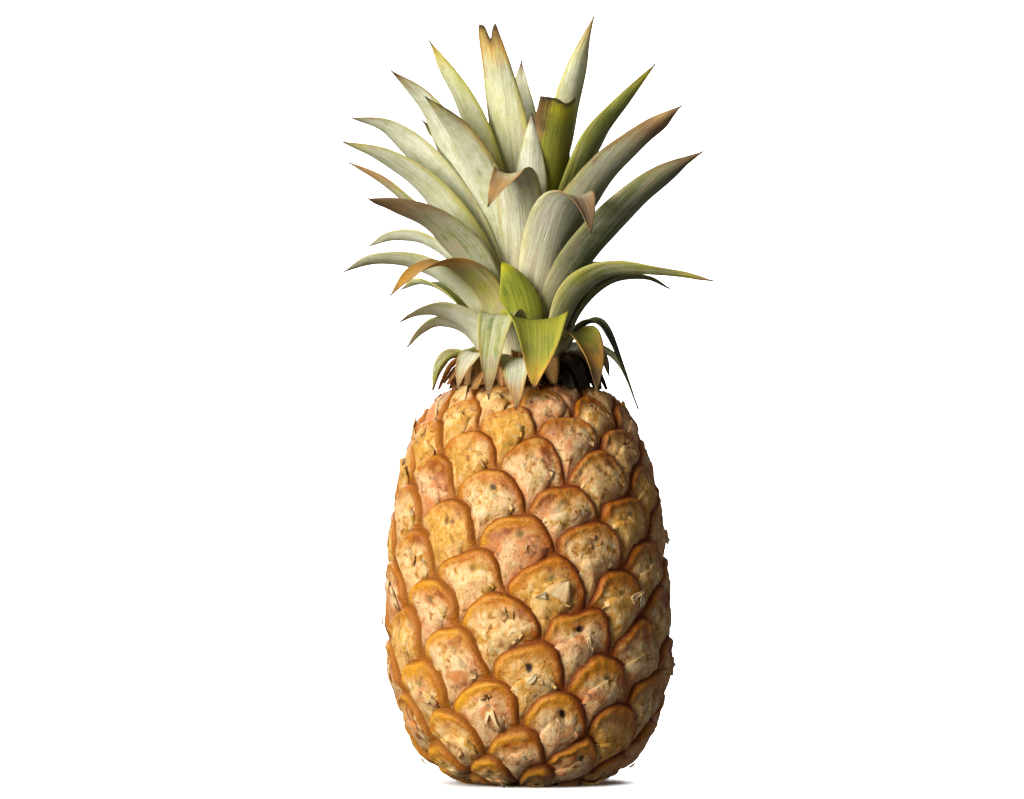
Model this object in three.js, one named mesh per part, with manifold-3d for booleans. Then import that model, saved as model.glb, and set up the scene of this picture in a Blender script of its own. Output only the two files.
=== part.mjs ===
// Pineapple: one barrel-shaped fruit of spiral eyes, standing on its flat cut base, with the
// leafy crown that grows out of its top. The fruit is one solid, the short crown stem is one,
// and every leaf is its own solid.
// Millimetres. +Z runs up, the origin is the centre of the flat base, and the side with the
// most leaves in detail faces -Y.
import * as THREE from "three";
import { mergeVertices } from "three/addons/utils/BufferGeometryUtils.js";
import Module from "manifold-3d";

// Driving dimensions of the fruit
const FRUIT_RADIUS = 56.8; // at the widest ring, between the grooves and the crowns of the eyes
const FRUIT_HEIGHT = 160; // from the cut base to the flat seat of the crown
const WIDEST_HEIGHT = 62;
const BASE_ROUNDING = 3.55; // a higher power makes a squarer end
const SHOULDER_ROUNDING = 4.2;
const BASE_TRIM = 0.6; // how much of each round end is trimmed off flat
const SEAT_TRIM = 1;
const FRUIT_LEAN = -2.2; // how far the top has shifted along X
const FRUIT_COLUMNS = 56;
const FRUIT_ROWS = 28;

// The eyes sit on one spiral that turns by the golden angle from each eye to the next, going down
const GOLDEN_ANGLE = THREE.MathUtils.degToRad(137.508);
const FIRST_EYE = -60;
const LAST_EYE = 78;
const ZERO_EYE_HEIGHT = 101;
const ZERO_EYE_TURN = THREE.MathUtils.degToRad(-2);
const EYE_RISE = 1.45; // along the skin, from one eye to the next
const EYE_RISE_GROWTH = 0.0026;
const EYE_LEAN = 0.073; // the spiral leans: eyes on +X sit higher by this share of X
const EYE_HALF_WIDTH = 13.5;
const EYE_ABOVE = 10.5; // from an eye's centre to its round top edge
const EYE_BELOW = 17;
const EYE_DOME = 2.6;
const EYE_TILT = 1.1; // the top edge of an eye stands out by this, and its lower end sinks by it
const EYE_SQUARENESS = 4;
const GROOVE_DEPTH = 1.4;
const EYE_FADE = 9; // the eyes flatten out over this much of the outline at each end
const OUTLINE_STEPS = 600;

// Driving dimensions of the crown
const CROWN_OFFSET_X = -2.8;
const CLEARANCE = 0.3;
const STEM_LENGTH = 52;
const STEM_FOOT_RADIUS = 15;
const STEM_WAIST_RADIUS = 12.75;
const STEM_WAIST_HEIGHT = 20.8;
const STEM_NECK_RADIUS = 6;
const STEM_NECK_HEIGHT = 41.6;
const STEM_TOP_RADIUS = 4;
const STEM_TOP_HEIGHT = 48.4;
const STEM_SIDES = 20;
const LEAF_THICKNESS = 1.6; // at the midrib
const LEAF_EDGE_THICKNESS = 0.8;
const LEAF_THINNING = 0.5; // share of its thickness that a leaf has lost at the tip
const LEAF_SECTIONS = 7;
const LAST_SECTION = 0.97; // share of the midrib where the last section stands, short of the tip
const LEAF_ACROSS = 4; // spans from edge to edge on each face
const LEAF_FOOT_WIDTH = 0.6; // share of the full width where the leaf leaves the stem
const LEAF_WIDEST_AT = 0.4;
const LEAF_TAPER = 2.2; // a higher power keeps the leaf wide for longer
const CHANNEL_ANGLE = THREE.MathUtils.degToRad(75); // how far the leaf curls from edge to edge

const SKIN = new THREE.MeshStandardMaterial({ color: 0xc98a3c, roughness: 0.55, metalness: 0 });
const STEM = new THREE.MeshStandardMaterial({ color: 0xc9c79a, roughness: 0.7, metalness: 0 });
const LEAF = new THREE.MeshStandardMaterial({ color: 0xa9b183, roughness: 0.6, metalness: 0 });

// A leaf's azimuth in degrees is 0 towards -Y and 90 towards +X, and its midrib runs from foot to
// tip as [distance from the crown's axis, height]. A sweep carries the tip sideways, a roll turns
// the blade about its midrib, in degrees at the tip, and a blunt leaf keeps that share of its
// width at the tip.
const PLAIN_LEAF = { sweep: 0, roll: 0, blunt: 0 };
const PLACED_LEAVES = [
  // upright leaves in the heart
  { name: "heart_leaf_split", azimuth: -32, halfWidth: 13, blunt: 0.3,
    midrib: [[6, 208], [11, 240], [18, 272], [28, 303]] },
  { name: "heart_leaf_young", azimuth: -80, halfWidth: 4.5,
    midrib: [[3, 215], [4, 230], [5, 246], [8, 260]] },
  { name: "heart_leaf_back", azimuth: 184, halfWidth: 9.5,
    midrib: [[6, 214], [8, 244], [11, 270], [15, 291]] },
  { name: "heart_leaf_cut_short", azimuth: 40, halfWidth: 12.5, blunt: 0.85,
    midrib: [[7, 204], [14, 231], [20, 255], [25, 274]] },
  { name: "heart_leaf_tall", azimuth: 64, halfWidth: 11, roll: -40,
    midrib: [[7, 204], [12, 232], [17, 258], [23, 284], [31, 307]] },
  { name: "heart_leaf_narrow", azimuth: 8, halfWidth: 9,
    midrib: [[7, 202], [15, 228], [20, 250], [22, 268]] },
  { name: "heart_leaf_left", azimuth: -64, halfWidth: 11, roll: 25,
    midrib: [[7, 204], [16, 242], [27, 272], [42, 297]] },
  // leaves that rise to the left
  { name: "left_leaf_01", azimuth: -38, halfWidth: 12, roll: 10,
    midrib: [[9, 198], [22, 232], [42, 258], [63, 273]] },
  { name: "left_leaf_02", azimuth: -54, halfWidth: 12.5, roll: 25,
    midrib: [[9, 196], [20, 226], [33, 249], [49, 271], [65, 284]] },
  { name: "left_leaf_03", azimuth: -70, halfWidth: 11.5, roll: 40,
    midrib: [[10, 194], [22, 220], [40, 246], [57, 261], [73, 266]] },
  { name: "left_leaf_04", azimuth: -64, halfWidth: 12, roll: 35,
    midrib: [[11, 188], [24, 213], [42, 236], [61, 249], [80, 256]] },
  { name: "left_leaf_05", azimuth: -104, halfWidth: 9, roll: 40,
    midrib: [[11, 188], [26, 210], [42, 227], [58, 241], [73, 250]] },
  { name: "left_leaf_06", azimuth: -52, halfWidth: 12.5, roll: 30,
    midrib: [[12, 182], [28, 208], [44, 222], [62, 229], [78, 233]] },
  { name: "left_leaf_07", azimuth: -98, halfWidth: 9.5, roll: 35,
    midrib: [[12, 184], [26, 206], [40, 217], [53, 219], [63, 216]] },
  { name: "left_leaf_08", azimuth: -76, halfWidth: 10, roll: 30,
    midrib: [[13, 178], [26, 196], [44, 207], [62, 209], [74, 205]] },
  { name: "left_leaf_09", azimuth: -50, halfWidth: 12,
    midrib: [[14, 176], [23, 197], [38, 207], [54, 205], [69, 195]] },
  { name: "left_leaf_10", azimuth: -66, halfWidth: 12, roll: 25,
    midrib: [[15, 170], [24, 182], [36, 188], [46, 188], [54, 185]] },
  { name: "left_leaf_11", azimuth: -92, halfWidth: 9.5, roll: 20,
    midrib: [[15, 170], [24, 181], [34, 184], [41, 181], [47, 175]] },
  { name: "left_leaf_12", azimuth: -66, halfWidth: 6.5,
    midrib: [[17, 162], [23, 170], [31, 171], [37, 166], [40, 158]] },
  // leaves that rise to the right
  { name: "right_leaf_01", azimuth: 76, halfWidth: 10.5, roll: -35,
    midrib: [[9, 200], [18, 230], [29, 256], [41, 272], [54, 288]] },
  { name: "right_leaf_02", azimuth: 56, halfWidth: 14, roll: -25,
    midrib: [[10, 194], [23, 222], [39, 243], [57, 258], [75, 270]] },
  { name: "right_leaf_03", azimuth: 62, halfWidth: 15, roll: -25,
    midrib: [[12, 186], [26, 207], [43, 226], [61, 241], [80, 252]] },
  { name: "right_leaf_04", azimuth: 68, halfWidth: 13, roll: -20,
    midrib: [[14, 177], [23, 195], [37, 204], [59, 204], [81, 201]] },
  { name: "right_leaf_05", azimuth: 72, halfWidth: 5,
    midrib: [[16, 172], [24, 183], [32, 184], [40, 170], [48, 150]] },
  { name: "right_leaf_06", azimuth: 100, halfWidth: 9, roll: -20,
    midrib: [[9, 198], [18, 228], [24, 250], [30, 262]] },
  { name: "right_leaf_07", azimuth: 122, halfWidth: 10.5,
    midrib: [[12, 182], [20, 208], [30, 230], [44, 250]] },
  { name: "right_leaf_08", azimuth: 110, halfWidth: 9.5,
    midrib: [[15, 172], [24, 190], [37, 201], [52, 203], [63, 199]] },
  // leaves in front
  { name: "front_leaf_01", azimuth: -2, halfWidth: 11, sweep: -13,
    midrib: [[9, 197], [18, 219], [27, 238], [33, 243], [38, 239], [41, 230]] },
  { name: "front_leaf_02", azimuth: 26, halfWidth: 13.5, sweep: 2,
    midrib: [[12, 188], [22, 212], [34, 229], [43, 234], [50, 231], [56, 219]] },
  { name: "front_leaf_03", azimuth: 0, halfWidth: 10, sweep: -9,
    midrib: [[13, 178], [18, 190], [23, 200], [27, 209]] },
  { name: "front_leaf_04", azimuth: 9, halfWidth: 16, sweep: -3,
    midrib: [[15, 172], [22, 182], [31, 185], [39, 181], [43, 170], [44, 158]] },
  { name: "front_leaf_05", azimuth: 38, halfWidth: 12.5,
    midrib: [[16, 167], [23, 177], [34, 180], [43, 171], [47, 157]] },
  { name: "front_leaf_06", azimuth: -19, halfWidth: 10.5,
    midrib: [[17, 163], [21, 179], [28, 187], [36, 183], [41, 168], [43, 154]] },
  { name: "front_leaf_07", azimuth: -4, halfWidth: 9,
    midrib: [[18, 161], [24, 169], [33, 169], [41, 161], [45, 150]] },
  { name: "front_leaf_08", azimuth: -40, halfWidth: 8,
    midrib: [[17, 162], [22, 169], [30, 172], [37, 167], [41, 158]] },
];

// Leaves behind, ring by ring: count, first azimuth and step in degrees, half width, midrib
const REAR_RINGS = [
  ["rear_collar_leaf", 6, 84, 32, 8, [[17, 162], [23, 172], [32, 173], [38, 168], [42, 160]]],
  ["rear_lower_leaf", 5, 136, 24, 10, [[15, 171], [25, 188], [40, 200], [54, 205], [66, 204]]],
  ["rear_middle_leaf", 5, 148, 22, 10.5, [[12, 182], [24, 206], [40, 221], [57, 229], [72, 231]]],
  ["rear_upper_leaf", 4, 140, 28, 11, [[10, 193], [20, 222], [34, 245], [50, 260], [64, 270]]],
  ["rear_heart_leaf", 3, 140, 42, 10, [[8, 201], [15, 236], [24, 262], [36, 284]]],
];
const RING_SPREAD = 5; // how far a ring's leaves stray from its midrib, at the tip
const WOBBLE_PER_LEAF = 2.4; // radians from one leaf to the next
const WOBBLE_PER_RING = 1.7;
const SWEEP_PER_LEAF = 1.9;
const WOBBLE_TURN = 4; // degrees
const WOBBLE_WIDTH = 0.1; // share of the half width
const MERGE_DISTANCE = 1e-4;

const wasm = await Module();
wasm.setup();

// A solid from a mesh whose shared corners are merged
function toSolid(geometry) {
  const bare = geometry.clone();
  bare.deleteAttribute("normal");
  bare.deleteAttribute("uv");
  const merged = mergeVertices(bare, MERGE_DISTANCE);
  return new wasm.Manifold(
    new wasm.Mesh({
      numProp: 3,
      vertProperties: merged.getAttribute("position").array,
      triVerts: new Uint32Array(merged.getIndex().array),
    }),
  );
}

function toGeometry(solid) {
  const mesh = solid.getMesh();
  const geometry = new THREE.BufferGeometry();
  geometry.setAttribute("position", new THREE.BufferAttribute(mesh.vertProperties, 3));
  geometry.setIndex(new THREE.BufferAttribute(mesh.triVerts, 1));
  geometry.computeVertexNormals();
  return geometry;
}

// A closed skin over rings of equally many points, from a first point to a last one
function skinOver(first, rings, last) {
  const around = rings[0].length;
  const points = [first, ...rings.flat(), last];
  const index = [];
  for (let i = 0; i < around; i++) {
    const next = (i + 1) % around;
    index.push(0, 1 + next, 1 + i);
    for (let row = 0; row < rings.length - 1; row++) {
      const low = 1 + row * around;
      const high = low + around;
      index.push(low + i, low + next, high + next, low + i, high + next, high + i);
    }
    const top = 1 + (rings.length - 1) * around;
    index.push(top + i, top + next, points.length - 1);
  }
  const geometry = new THREE.BufferGeometry().setFromPoints(points);
  geometry.setIndex(index);
  return geometry;
}

// The fruit's outline before the eyes: one squared-off ellipse below the widest ring, one above
function outlineRadius(z) {
  const above = z > WIDEST_HEIGHT;
  const reach = above ? FRUIT_HEIGHT + SEAT_TRIM - WIDEST_HEIGHT : WIDEST_HEIGHT + BASE_TRIM;
  const share = (z - WIDEST_HEIGHT) / reach;
  return FRUIT_RADIUS * (1 - share * share) ** (1 / (above ? SHOULDER_ROUNDING : BASE_ROUNDING));
}

// Points of the outline, and how far each lies along it from the rim of the base
function tracedOutline() {
  const points = [];
  for (let i = 0; i <= OUTLINE_STEPS; i++) {
    const z = (FRUIT_HEIGHT * (1 - Math.cos((Math.PI * i) / OUTLINE_STEPS))) / 2;
    const r = outlineRadius(z);
    const before = points.at(-1) ?? { r, z, along: 0 };
    points.push({ r, z, along: before.along + Math.hypot(r - before.r, z - before.z) });
  }
  return points;
}
const OUTLINE = tracedOutline();
const OUTLINE_LENGTH = OUTLINE.at(-1).along;

function outlineAt(along) {
  const next = Math.max(1, OUTLINE.findIndex((p) => p.along >= along));
  const [a, b] = [OUTLINE[next - 1], OUTLINE[next]];
  const share = (along - a.along) / (b.along - a.along);
  const slope = Math.atan2(b.z - a.z, b.r - a.r);
  return {
    r: THREE.MathUtils.lerp(a.r, b.r, share),
    z: THREE.MathUtils.lerp(a.z, b.z, share),
    outR: Math.sin(slope),
    outZ: -Math.cos(slope),
  };
}

// Every eye's turn round the fruit and place along the outline
function eyeCentres() {
  const zero = OUTLINE.find((p) => p.z >= ZERO_EYE_HEIGHT).along;
  const eyes = [];
  for (let n = FIRST_EYE; n <= LAST_EYE; n++) {
    const turn = ZERO_EYE_TURN - n * GOLDEN_ANGLE;
    const along = zero - EYE_RISE * n - EYE_RISE_GROWTH * n * n;
    if (along < 0 || along > OUTLINE_LENGTH) continue;
    eyes.push({ turn, along: along + EYE_LEAN * outlineAt(along).r * Math.sin(turn) });
  }
  return eyes;
}
const EYES = eyeCentres();

// How far the skin stands out: the highest of the overlapping scales, each a flat-topped dome
// tilted outwards
function eyeRelief(turn, along, radius) {
  let height = -GROOVE_DEPTH;
  for (const eye of EYES) {
    const v = along - eye.along;
    if (v > EYE_ABOVE || v < -EYE_BELOW) continue;
    const u = radius * Math.atan2(Math.sin(turn - eye.turn), Math.cos(turn - eye.turn));
    const far = Math.hypot(u / EYE_HALF_WIDTH, v / (v > 0 ? EYE_ABOVE : EYE_BELOW));
    if (far > 1) continue;
    const dome = EYE_DOME * (1 - far ** EYE_SQUARENESS) - GROOVE_DEPTH;
    height = Math.max(height, dome + (EYE_TILT * v) / EYE_ABOVE);
  }
  return height;
}

function makeFruit() {
  const rings = [];
  for (let row = 0; row <= FRUIT_ROWS; row++) {
    const along = (OUTLINE_LENGTH * row) / FRUIT_ROWS;
    const at = outlineAt(along);
    const ends = Math.min(1, along / EYE_FADE, (OUTLINE_LENGTH - along) / EYE_FADE);
    const ring = [];
    for (let column = 0; column < FRUIT_COLUMNS; column++) {
      const turn = (2 * Math.PI * column) / FRUIT_COLUMNS;
      const relief = ends * eyeRelief(turn, along, at.r);
      const r = at.r + relief * at.outR;
      const z = THREE.MathUtils.clamp(at.z + relief * at.outZ, 0, FRUIT_HEIGHT);
      const lean = (FRUIT_LEAN * z) / FRUIT_HEIGHT;
      ring.push(new THREE.Vector3(r * Math.sin(turn) + lean, -r * Math.cos(turn), z));
    }
    rings.push(ring);
  }
  const base = new THREE.Vector3(0, 0, 0);
  const seat = new THREE.Vector3(FRUIT_LEAN, 0, FRUIT_HEIGHT);
  const fruit = new THREE.Mesh(skinOver(base, rings, seat), SKIN.clone());
  fruit.name = "fruit";
  return fruit;
}

// The stem tapers in two stretches, the lower one slowly, to a blunt bud under the heart leaves
function stemGeometry(grown = 0) {
  const bottom = FRUIT_HEIGHT + CLEARANCE - grown;
  const shell = [
    [STEM_WAIST_RADIUS, STEM_WAIST_HEIGHT],
    [STEM_NECK_RADIUS, STEM_NECK_HEIGHT],
    [STEM_TOP_RADIUS, STEM_TOP_HEIGHT],
  ];
  const lift = FRUIT_HEIGHT + CLEARANCE + grown;
  const profile = [
    new THREE.Vector2(0, bottom),
    new THREE.Vector2(STEM_FOOT_RADIUS + grown, bottom),
    ...shell.map(([r, z]) => new THREE.Vector2(r + grown, z + lift)),
    new THREE.Vector2(0, STEM_LENGTH + lift),
  ];
  return new THREE.LatheGeometry(profile, STEM_SIDES).rotateX(Math.PI / 2);
}

// The share of its full half width that a leaf has at t, from 0 at the foot to 1 at the tip
function leafWidth(leaf, t) {
  const opening = Math.sin((Math.PI / 2) * Math.min(1, t / LEAF_WIDEST_AT));
  const spread = LEAF_FOOT_WIDTH + (1 - LEAF_FOOT_WIDTH) * opening;
  return spread * (1 - (1 - leaf.blunt) * t ** LEAF_TAPER);
}

// One loop of points round the leaf at t: along the outer face from edge to edge, and back on
// the inner one
function leafSection(curve, leaf, t, grown) {
  const middle = curve.getPoint(t);
  const tangent = curve.getTangent(t);
  const side = new THREE.Vector3(0, 1, 0).addScaledVector(tangent, -tangent.y).normalize();
  side.applyAxisAngle(tangent, THREE.MathUtils.degToRad(leaf.roll) * t);
  const out = new THREE.Vector3().crossVectors(side, tangent);
  const half = leaf.halfWidth * leafWidth(leaf, t);
  const opening = Math.min(1, t / LEAF_WIDEST_AT);
  const bend = THREE.MathUtils.lerp(1 / leaf.midrib[0][0], CHANNEL_ANGLE / (2 * half), opening);
  const outerFace = [];
  const innerFace = [];
  for (let i = 0; i <= LEAF_ACROSS; i++) {
    const share = (2 * i) / LEAF_ACROSS - 1;
    const turned = share * (half + grown) * bend;
    const rib = middle
      .clone()
      .addScaledVector(side, Math.sin(turned) / bend)
      .addScaledVector(out, (Math.cos(turned) - 1) / bend);
    const normal = out
      .clone()
      .multiplyScalar(Math.cos(turned))
      .addScaledVector(side, Math.sin(turned));
    const thickness = THREE.MathUtils.lerp(LEAF_THICKNESS, LEAF_EDGE_THICKNESS, Math.abs(share));
    const depth = (thickness / 2) * (1 - LEAF_THINNING * t) + grown;
    const atEdge = Math.abs(share) === 1 && grown === 0;
    outerFace.push(rib.clone().addScaledVector(normal, atEdge ? 0 : depth));
    if (!atEdge) innerFace.unshift(rib.clone().addScaledVector(normal, -depth));
  }
  return [...outerFace, ...innerFace];
}

// A leaf's closed skin in the crown's frame. A grown one is thicker all over, to cut its
// neighbours with.
function leafSolid(leaf, grown = 0) {
  const points = leaf.midrib.map(([out, up], i) => {
    const share = i / (leaf.midrib.length - 1);
    return new THREE.Vector3(out, leaf.sweep * share * share, up);
  });
  const curve = new THREE.CatmullRomCurve3(points, false, "catmullrom");
  const rings = [];
  for (let i = 0; i < LEAF_SECTIONS; i++) {
    rings.push(leafSection(curve, leaf, (i * LAST_SECTION) / (LEAF_SECTIONS - 1), grown));
  }
  const foot = new THREE.Vector3();
  rings[0].forEach((p) => foot.addScaledVector(p, 1 / rings[0].length));
  const geometry = skinOver(foot, rings, curve.getPoint(1));
  return toSolid(geometry.rotateZ(leafTurn(leaf)));
}

function leafTurn(leaf) {
  return THREE.MathUtils.degToRad(leaf.azimuth - 90);
}

// What is left of a leaf once what it passes through is taken out of it: the largest piece
function trimmed(solid, cutters) {
  const pieces = cutters.reduce((rest, cutter) => rest.subtract(cutter), solid).decompose();
  return pieces.reduce((a, b) => (b.volume() > a.volume() ? b : a));
}

// A ring's leaves stray from the ring's midrib by a steady wobble, so that no two are alike
function rearLeaves() {
  return REAR_RINGS.flatMap(([name, count, first, step, halfWidth, midrib], ring) =>
    Array.from({ length: count }, (_, i) => {
      const wobble = Math.sin(WOBBLE_PER_LEAF * i + WOBBLE_PER_RING * ring);
      const last = midrib.length - 1;
      return {
        name: `${name}_${i + 1}`,
        azimuth: first + step * i + WOBBLE_TURN * wobble,
        halfWidth: halfWidth * (1 + WOBBLE_WIDTH * wobble),
        sweep: RING_SPREAD * Math.cos(SWEEP_PER_LEAF * i + ring),
        midrib: midrib.map(([out, up], j) => [
          out - (RING_SPREAD * wobble * j) / last,
          up + (RING_SPREAD * wobble * j) / last,
        ]),
      };
    }),
  );
}

// The crown's own frame has its axis on Z. Leaves are cut from the heart outwards, each to clear
// those inside it.
function makeCrown() {
  const crown = new THREE.Group();
  crown.position.x = CROWN_OFFSET_X;
  const stem = new THREE.Mesh(stemGeometry(), STEM.clone());
  stem.name = "crown_stem";
  crown.add(stem);
  const leaves = [...PLACED_LEAVES, ...rearLeaves()].map((leaf) => ({ ...PLAIN_LEAF, ...leaf }));
  leaves.sort((a, b) => b.midrib[0][1] - a.midrib[0][1]);
  const cutters = [toSolid(stemGeometry(CLEARANCE))];
  for (const leaf of leaves) {
    const geometry = toGeometry(trimmed(leafSolid(leaf), cutters));
    cutters.push(leafSolid(leaf, CLEARANCE));
    const mesh = new THREE.Mesh(geometry.rotateZ(-leafTurn(leaf)), LEAF.clone());
    mesh.name = leaf.name;
    mesh.rotation.z = leafTurn(leaf);
    crown.add(mesh);
  }
  return crown;
}

const pineapple = new THREE.Group();
pineapple.add(makeFruit(), makeCrown());
export default pineapple;
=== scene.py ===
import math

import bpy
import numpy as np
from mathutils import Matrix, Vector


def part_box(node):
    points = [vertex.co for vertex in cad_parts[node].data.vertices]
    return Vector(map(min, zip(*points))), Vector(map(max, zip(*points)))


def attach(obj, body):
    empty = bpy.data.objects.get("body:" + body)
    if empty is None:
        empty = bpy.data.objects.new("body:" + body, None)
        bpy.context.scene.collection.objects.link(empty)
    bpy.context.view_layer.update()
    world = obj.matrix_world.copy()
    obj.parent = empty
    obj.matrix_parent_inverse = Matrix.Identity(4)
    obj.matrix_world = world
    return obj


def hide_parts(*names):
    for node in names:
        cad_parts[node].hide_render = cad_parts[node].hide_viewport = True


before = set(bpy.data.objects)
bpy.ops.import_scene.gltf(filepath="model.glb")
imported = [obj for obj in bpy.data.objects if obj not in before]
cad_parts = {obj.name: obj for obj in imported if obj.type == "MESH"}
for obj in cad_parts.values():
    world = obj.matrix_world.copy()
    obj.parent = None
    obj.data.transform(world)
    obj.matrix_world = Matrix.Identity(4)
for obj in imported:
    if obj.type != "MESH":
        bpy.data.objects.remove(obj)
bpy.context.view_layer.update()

# %% [markdown]
# # A pineapple, surface by surface
# A pineapple is more than a hundred small fruits that have grown together round one stalk. Each of them is
# an "eye" of the skin, and the eyes follow one spiral that turns by the golden angle from each eye to the
# next. On top grows a crown of stiff leaves that nest inside each other. Everything here comes from those two
# rules: the skin is one sheet made of the same eye over and over, and every leaf is one blade swept along its
# midrib.

MM = 0.001

# %% [markdown]
# ## Camera
# A long lens from far away keeps the upright sides of the fruit upright. The camera looks level, at half the
# height of the fruit and its crown together.

# %% Camera
LENS = 200
SENSOR = 36
CAMERA_DISTANCE = 2.285
CAMERA_X = -7.6 * MM
CAMERA_HEIGHT = 154 * MM


def make_camera():
    """A level camera in front of the fruit that looks along +Y."""
    data = bpy.data.cameras.new("camera")
    data.lens = LENS
    data.sensor_width = SENSOR
    camera = bpy.data.objects.new("camera", data)
    camera.location = (CAMERA_X, -CAMERA_DISTANCE, CAMERA_HEIGHT)
    camera.rotation_euler = (math.radians(90), 0, 0)
    bpy.context.scene.collection.objects.link(camera)
    bpy.context.scene.camera = camera


make_camera()
print("the camera stands", CAMERA_DISTANCE, "m away")

# %% [markdown]
# ## Floor, light and sky
# The main light is a large soft one to the left of the camera and a little above it, so that the right side
# of the fruit falls into shade and every eye shows its roundness. A weak one behind is there for whoever
# walks round to the back. The floor runs up into a curved wall behind, so no horizon shows. It is hidden from
# diffuse and glossy rays, because light thrown back by a white floor would fill the shadows and lay a grey
# sheen on the fruit. Two lamps of its own keep it evenly pale.

# %% The floor
FLOOR_REACH = 6
FLOOR_WHITE = 0.9
FLOOR_ROUGHNESS = 0.9
SWEEP_START = 1.6
SWEEP_RADIUS = 2
SWEEP_STEPS = 16


def make_floor():
    """A sheet that is flat round the fruit and turns up behind it through a quarter circle."""
    turn = np.linspace(0, math.pi / 2, SWEEP_STEPS)
    x = np.array([-FLOOR_REACH, FLOOR_REACH])
    y = SWEEP_START + SWEEP_RADIUS * np.sin(turn)
    y = np.concatenate([[-FLOOR_REACH], y, [SWEEP_START + SWEEP_RADIUS]])
    z = np.concatenate([[0], SWEEP_RADIUS * (1 - np.cos(turn)), [FLOOR_REACH]])
    points = np.stack(np.broadcast_arrays(x[None, :], y[:, None], z[:, None]), -1).reshape(-1, 3)
    first = 2 * np.arange(len(y) - 1)[:, None]
    mesh = bpy.data.meshes.new("floor")
    mesh.from_pydata(points.tolist(), [], (first + np.array([0, 1, 3, 2])).tolist())
    mesh.shade_smooth()
    sheet = bpy.data.objects.new("floor", mesh)
    bpy.context.scene.collection.objects.link(sheet)
    coat = bpy.data.materials.new("floor_paint")
    coat.use_nodes = True
    shader = coat.node_tree.nodes["Principled BSDF"]
    shader.inputs["Base Color"].default_value = (FLOOR_WHITE, FLOOR_WHITE, FLOOR_WHITE, 1)
    shader.inputs["Roughness"].default_value = FLOOR_ROUGHNESS
    mesh.materials.append(coat)
    sheet.visible_diffuse = False
    sheet.visible_glossy = False
    return sheet


floor = make_floor()
print("the floor reaches", FLOOR_REACH, "m each way")

# %% The lamps and the sky
FRUIT_MIDDLE = (0, 0, 0.15)
WARM_WHITE = (1, 0.96, 0.9)
SKY_LIGHT = (0.16, 0.153, 0.155)
FLOOR_LAMP_SIZE = 4
FLOOR_LAMP_POWER = 420


def make_lamp(name, place, target, size, power, colour=(1, 1, 1)):
    """A square lamp at place, facing target, with its power in watts and its size in metres. It is tilted by
    the angle between straight up and the way back from the target, and turned to the side of that way."""
    data = bpy.data.lights.new(name, "AREA")
    data.size = size
    data.energy = power
    data.color = colour
    lamp = bpy.data.objects.new(name, data)
    lamp.location = place
    x, y, z = np.array(place, float) - np.array(target, float)
    lamp.rotation_euler = (math.atan2(math.hypot(x, y), z), 0, math.atan2(x, -y))
    bpy.context.scene.collection.objects.link(lamp)
    return lamp


def make_floor_lamp(name, place, target):
    """A lamp above the floor whose light reaches nothing else."""
    lamp = make_lamp(name, place, target, FLOOR_LAMP_SIZE, FLOOR_LAMP_POWER)
    receivers = bpy.data.collections.new(name + "_receivers")
    receivers.objects.link(floor)
    lamp.light_linking.receiver_collection = receivers


def make_sky():
    """White where the camera sees it, and dim as a light, as in a room whose walls are far off."""
    world = bpy.data.worlds.new("sky")
    world.use_nodes = True
    tree = world.node_tree
    path = tree.nodes.new("ShaderNodeLightPath")
    shade = tree.nodes.new("ShaderNodeMix")
    shade.data_type = "RGBA"
    shade.inputs[6].default_value = (*SKY_LIGHT, 1)
    shade.inputs[7].default_value = (1, 1, 1, 1)
    tree.links.new(path.outputs["Is Camera Ray"], shade.inputs[0])
    tree.links.new(shade.outputs[2], tree.nodes["Background"].inputs["Color"])
    bpy.context.scene.world = world


make_sky()
make_lamp("key_light", (-1.55, -1.7, 0.85), FRUIT_MIDDLE, 1.3, 98, WARM_WHITE)
make_lamp("rear_light", (-0.7, 1.8, 0.9), FRUIT_MIDDLE, 1.2, 22)
make_floor_lamp("backdrop_light", (0, 0.6, 3), (0, 0.8, 0))
make_floor_lamp("front_floor_light", (0, -3.2, 3), (0, -3.4, 0))
bpy.context.scene.view_settings.view_transform = "Standard"
print("two lamps light the fruit and two the floor")

# %% [markdown]
# ## Shader maths
# A finish is easier to read as an expression than as a picture of boxes and wires. A Wire is one value or
# colour inside a material. Adding or multiplying wires adds the Math nodes, and node() adds any other node:
# its settings are set first, then its sockets are filled with numbers, colours or other wires. A colour is
# built up as a painter does it, as a ground under one coat after another.

# %% The Wire class
def paint(code):
    """A colour from its hex code, as the linear values that a shader works with."""
    shares = [int(code[i : i + 2], 16) / 255 for i in (1, 3, 5)]
    return (*[s / 12.92 if s < 0.04045 else ((s + 0.055) / 1.055) ** 2.4 for s in shares], 1)


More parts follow.
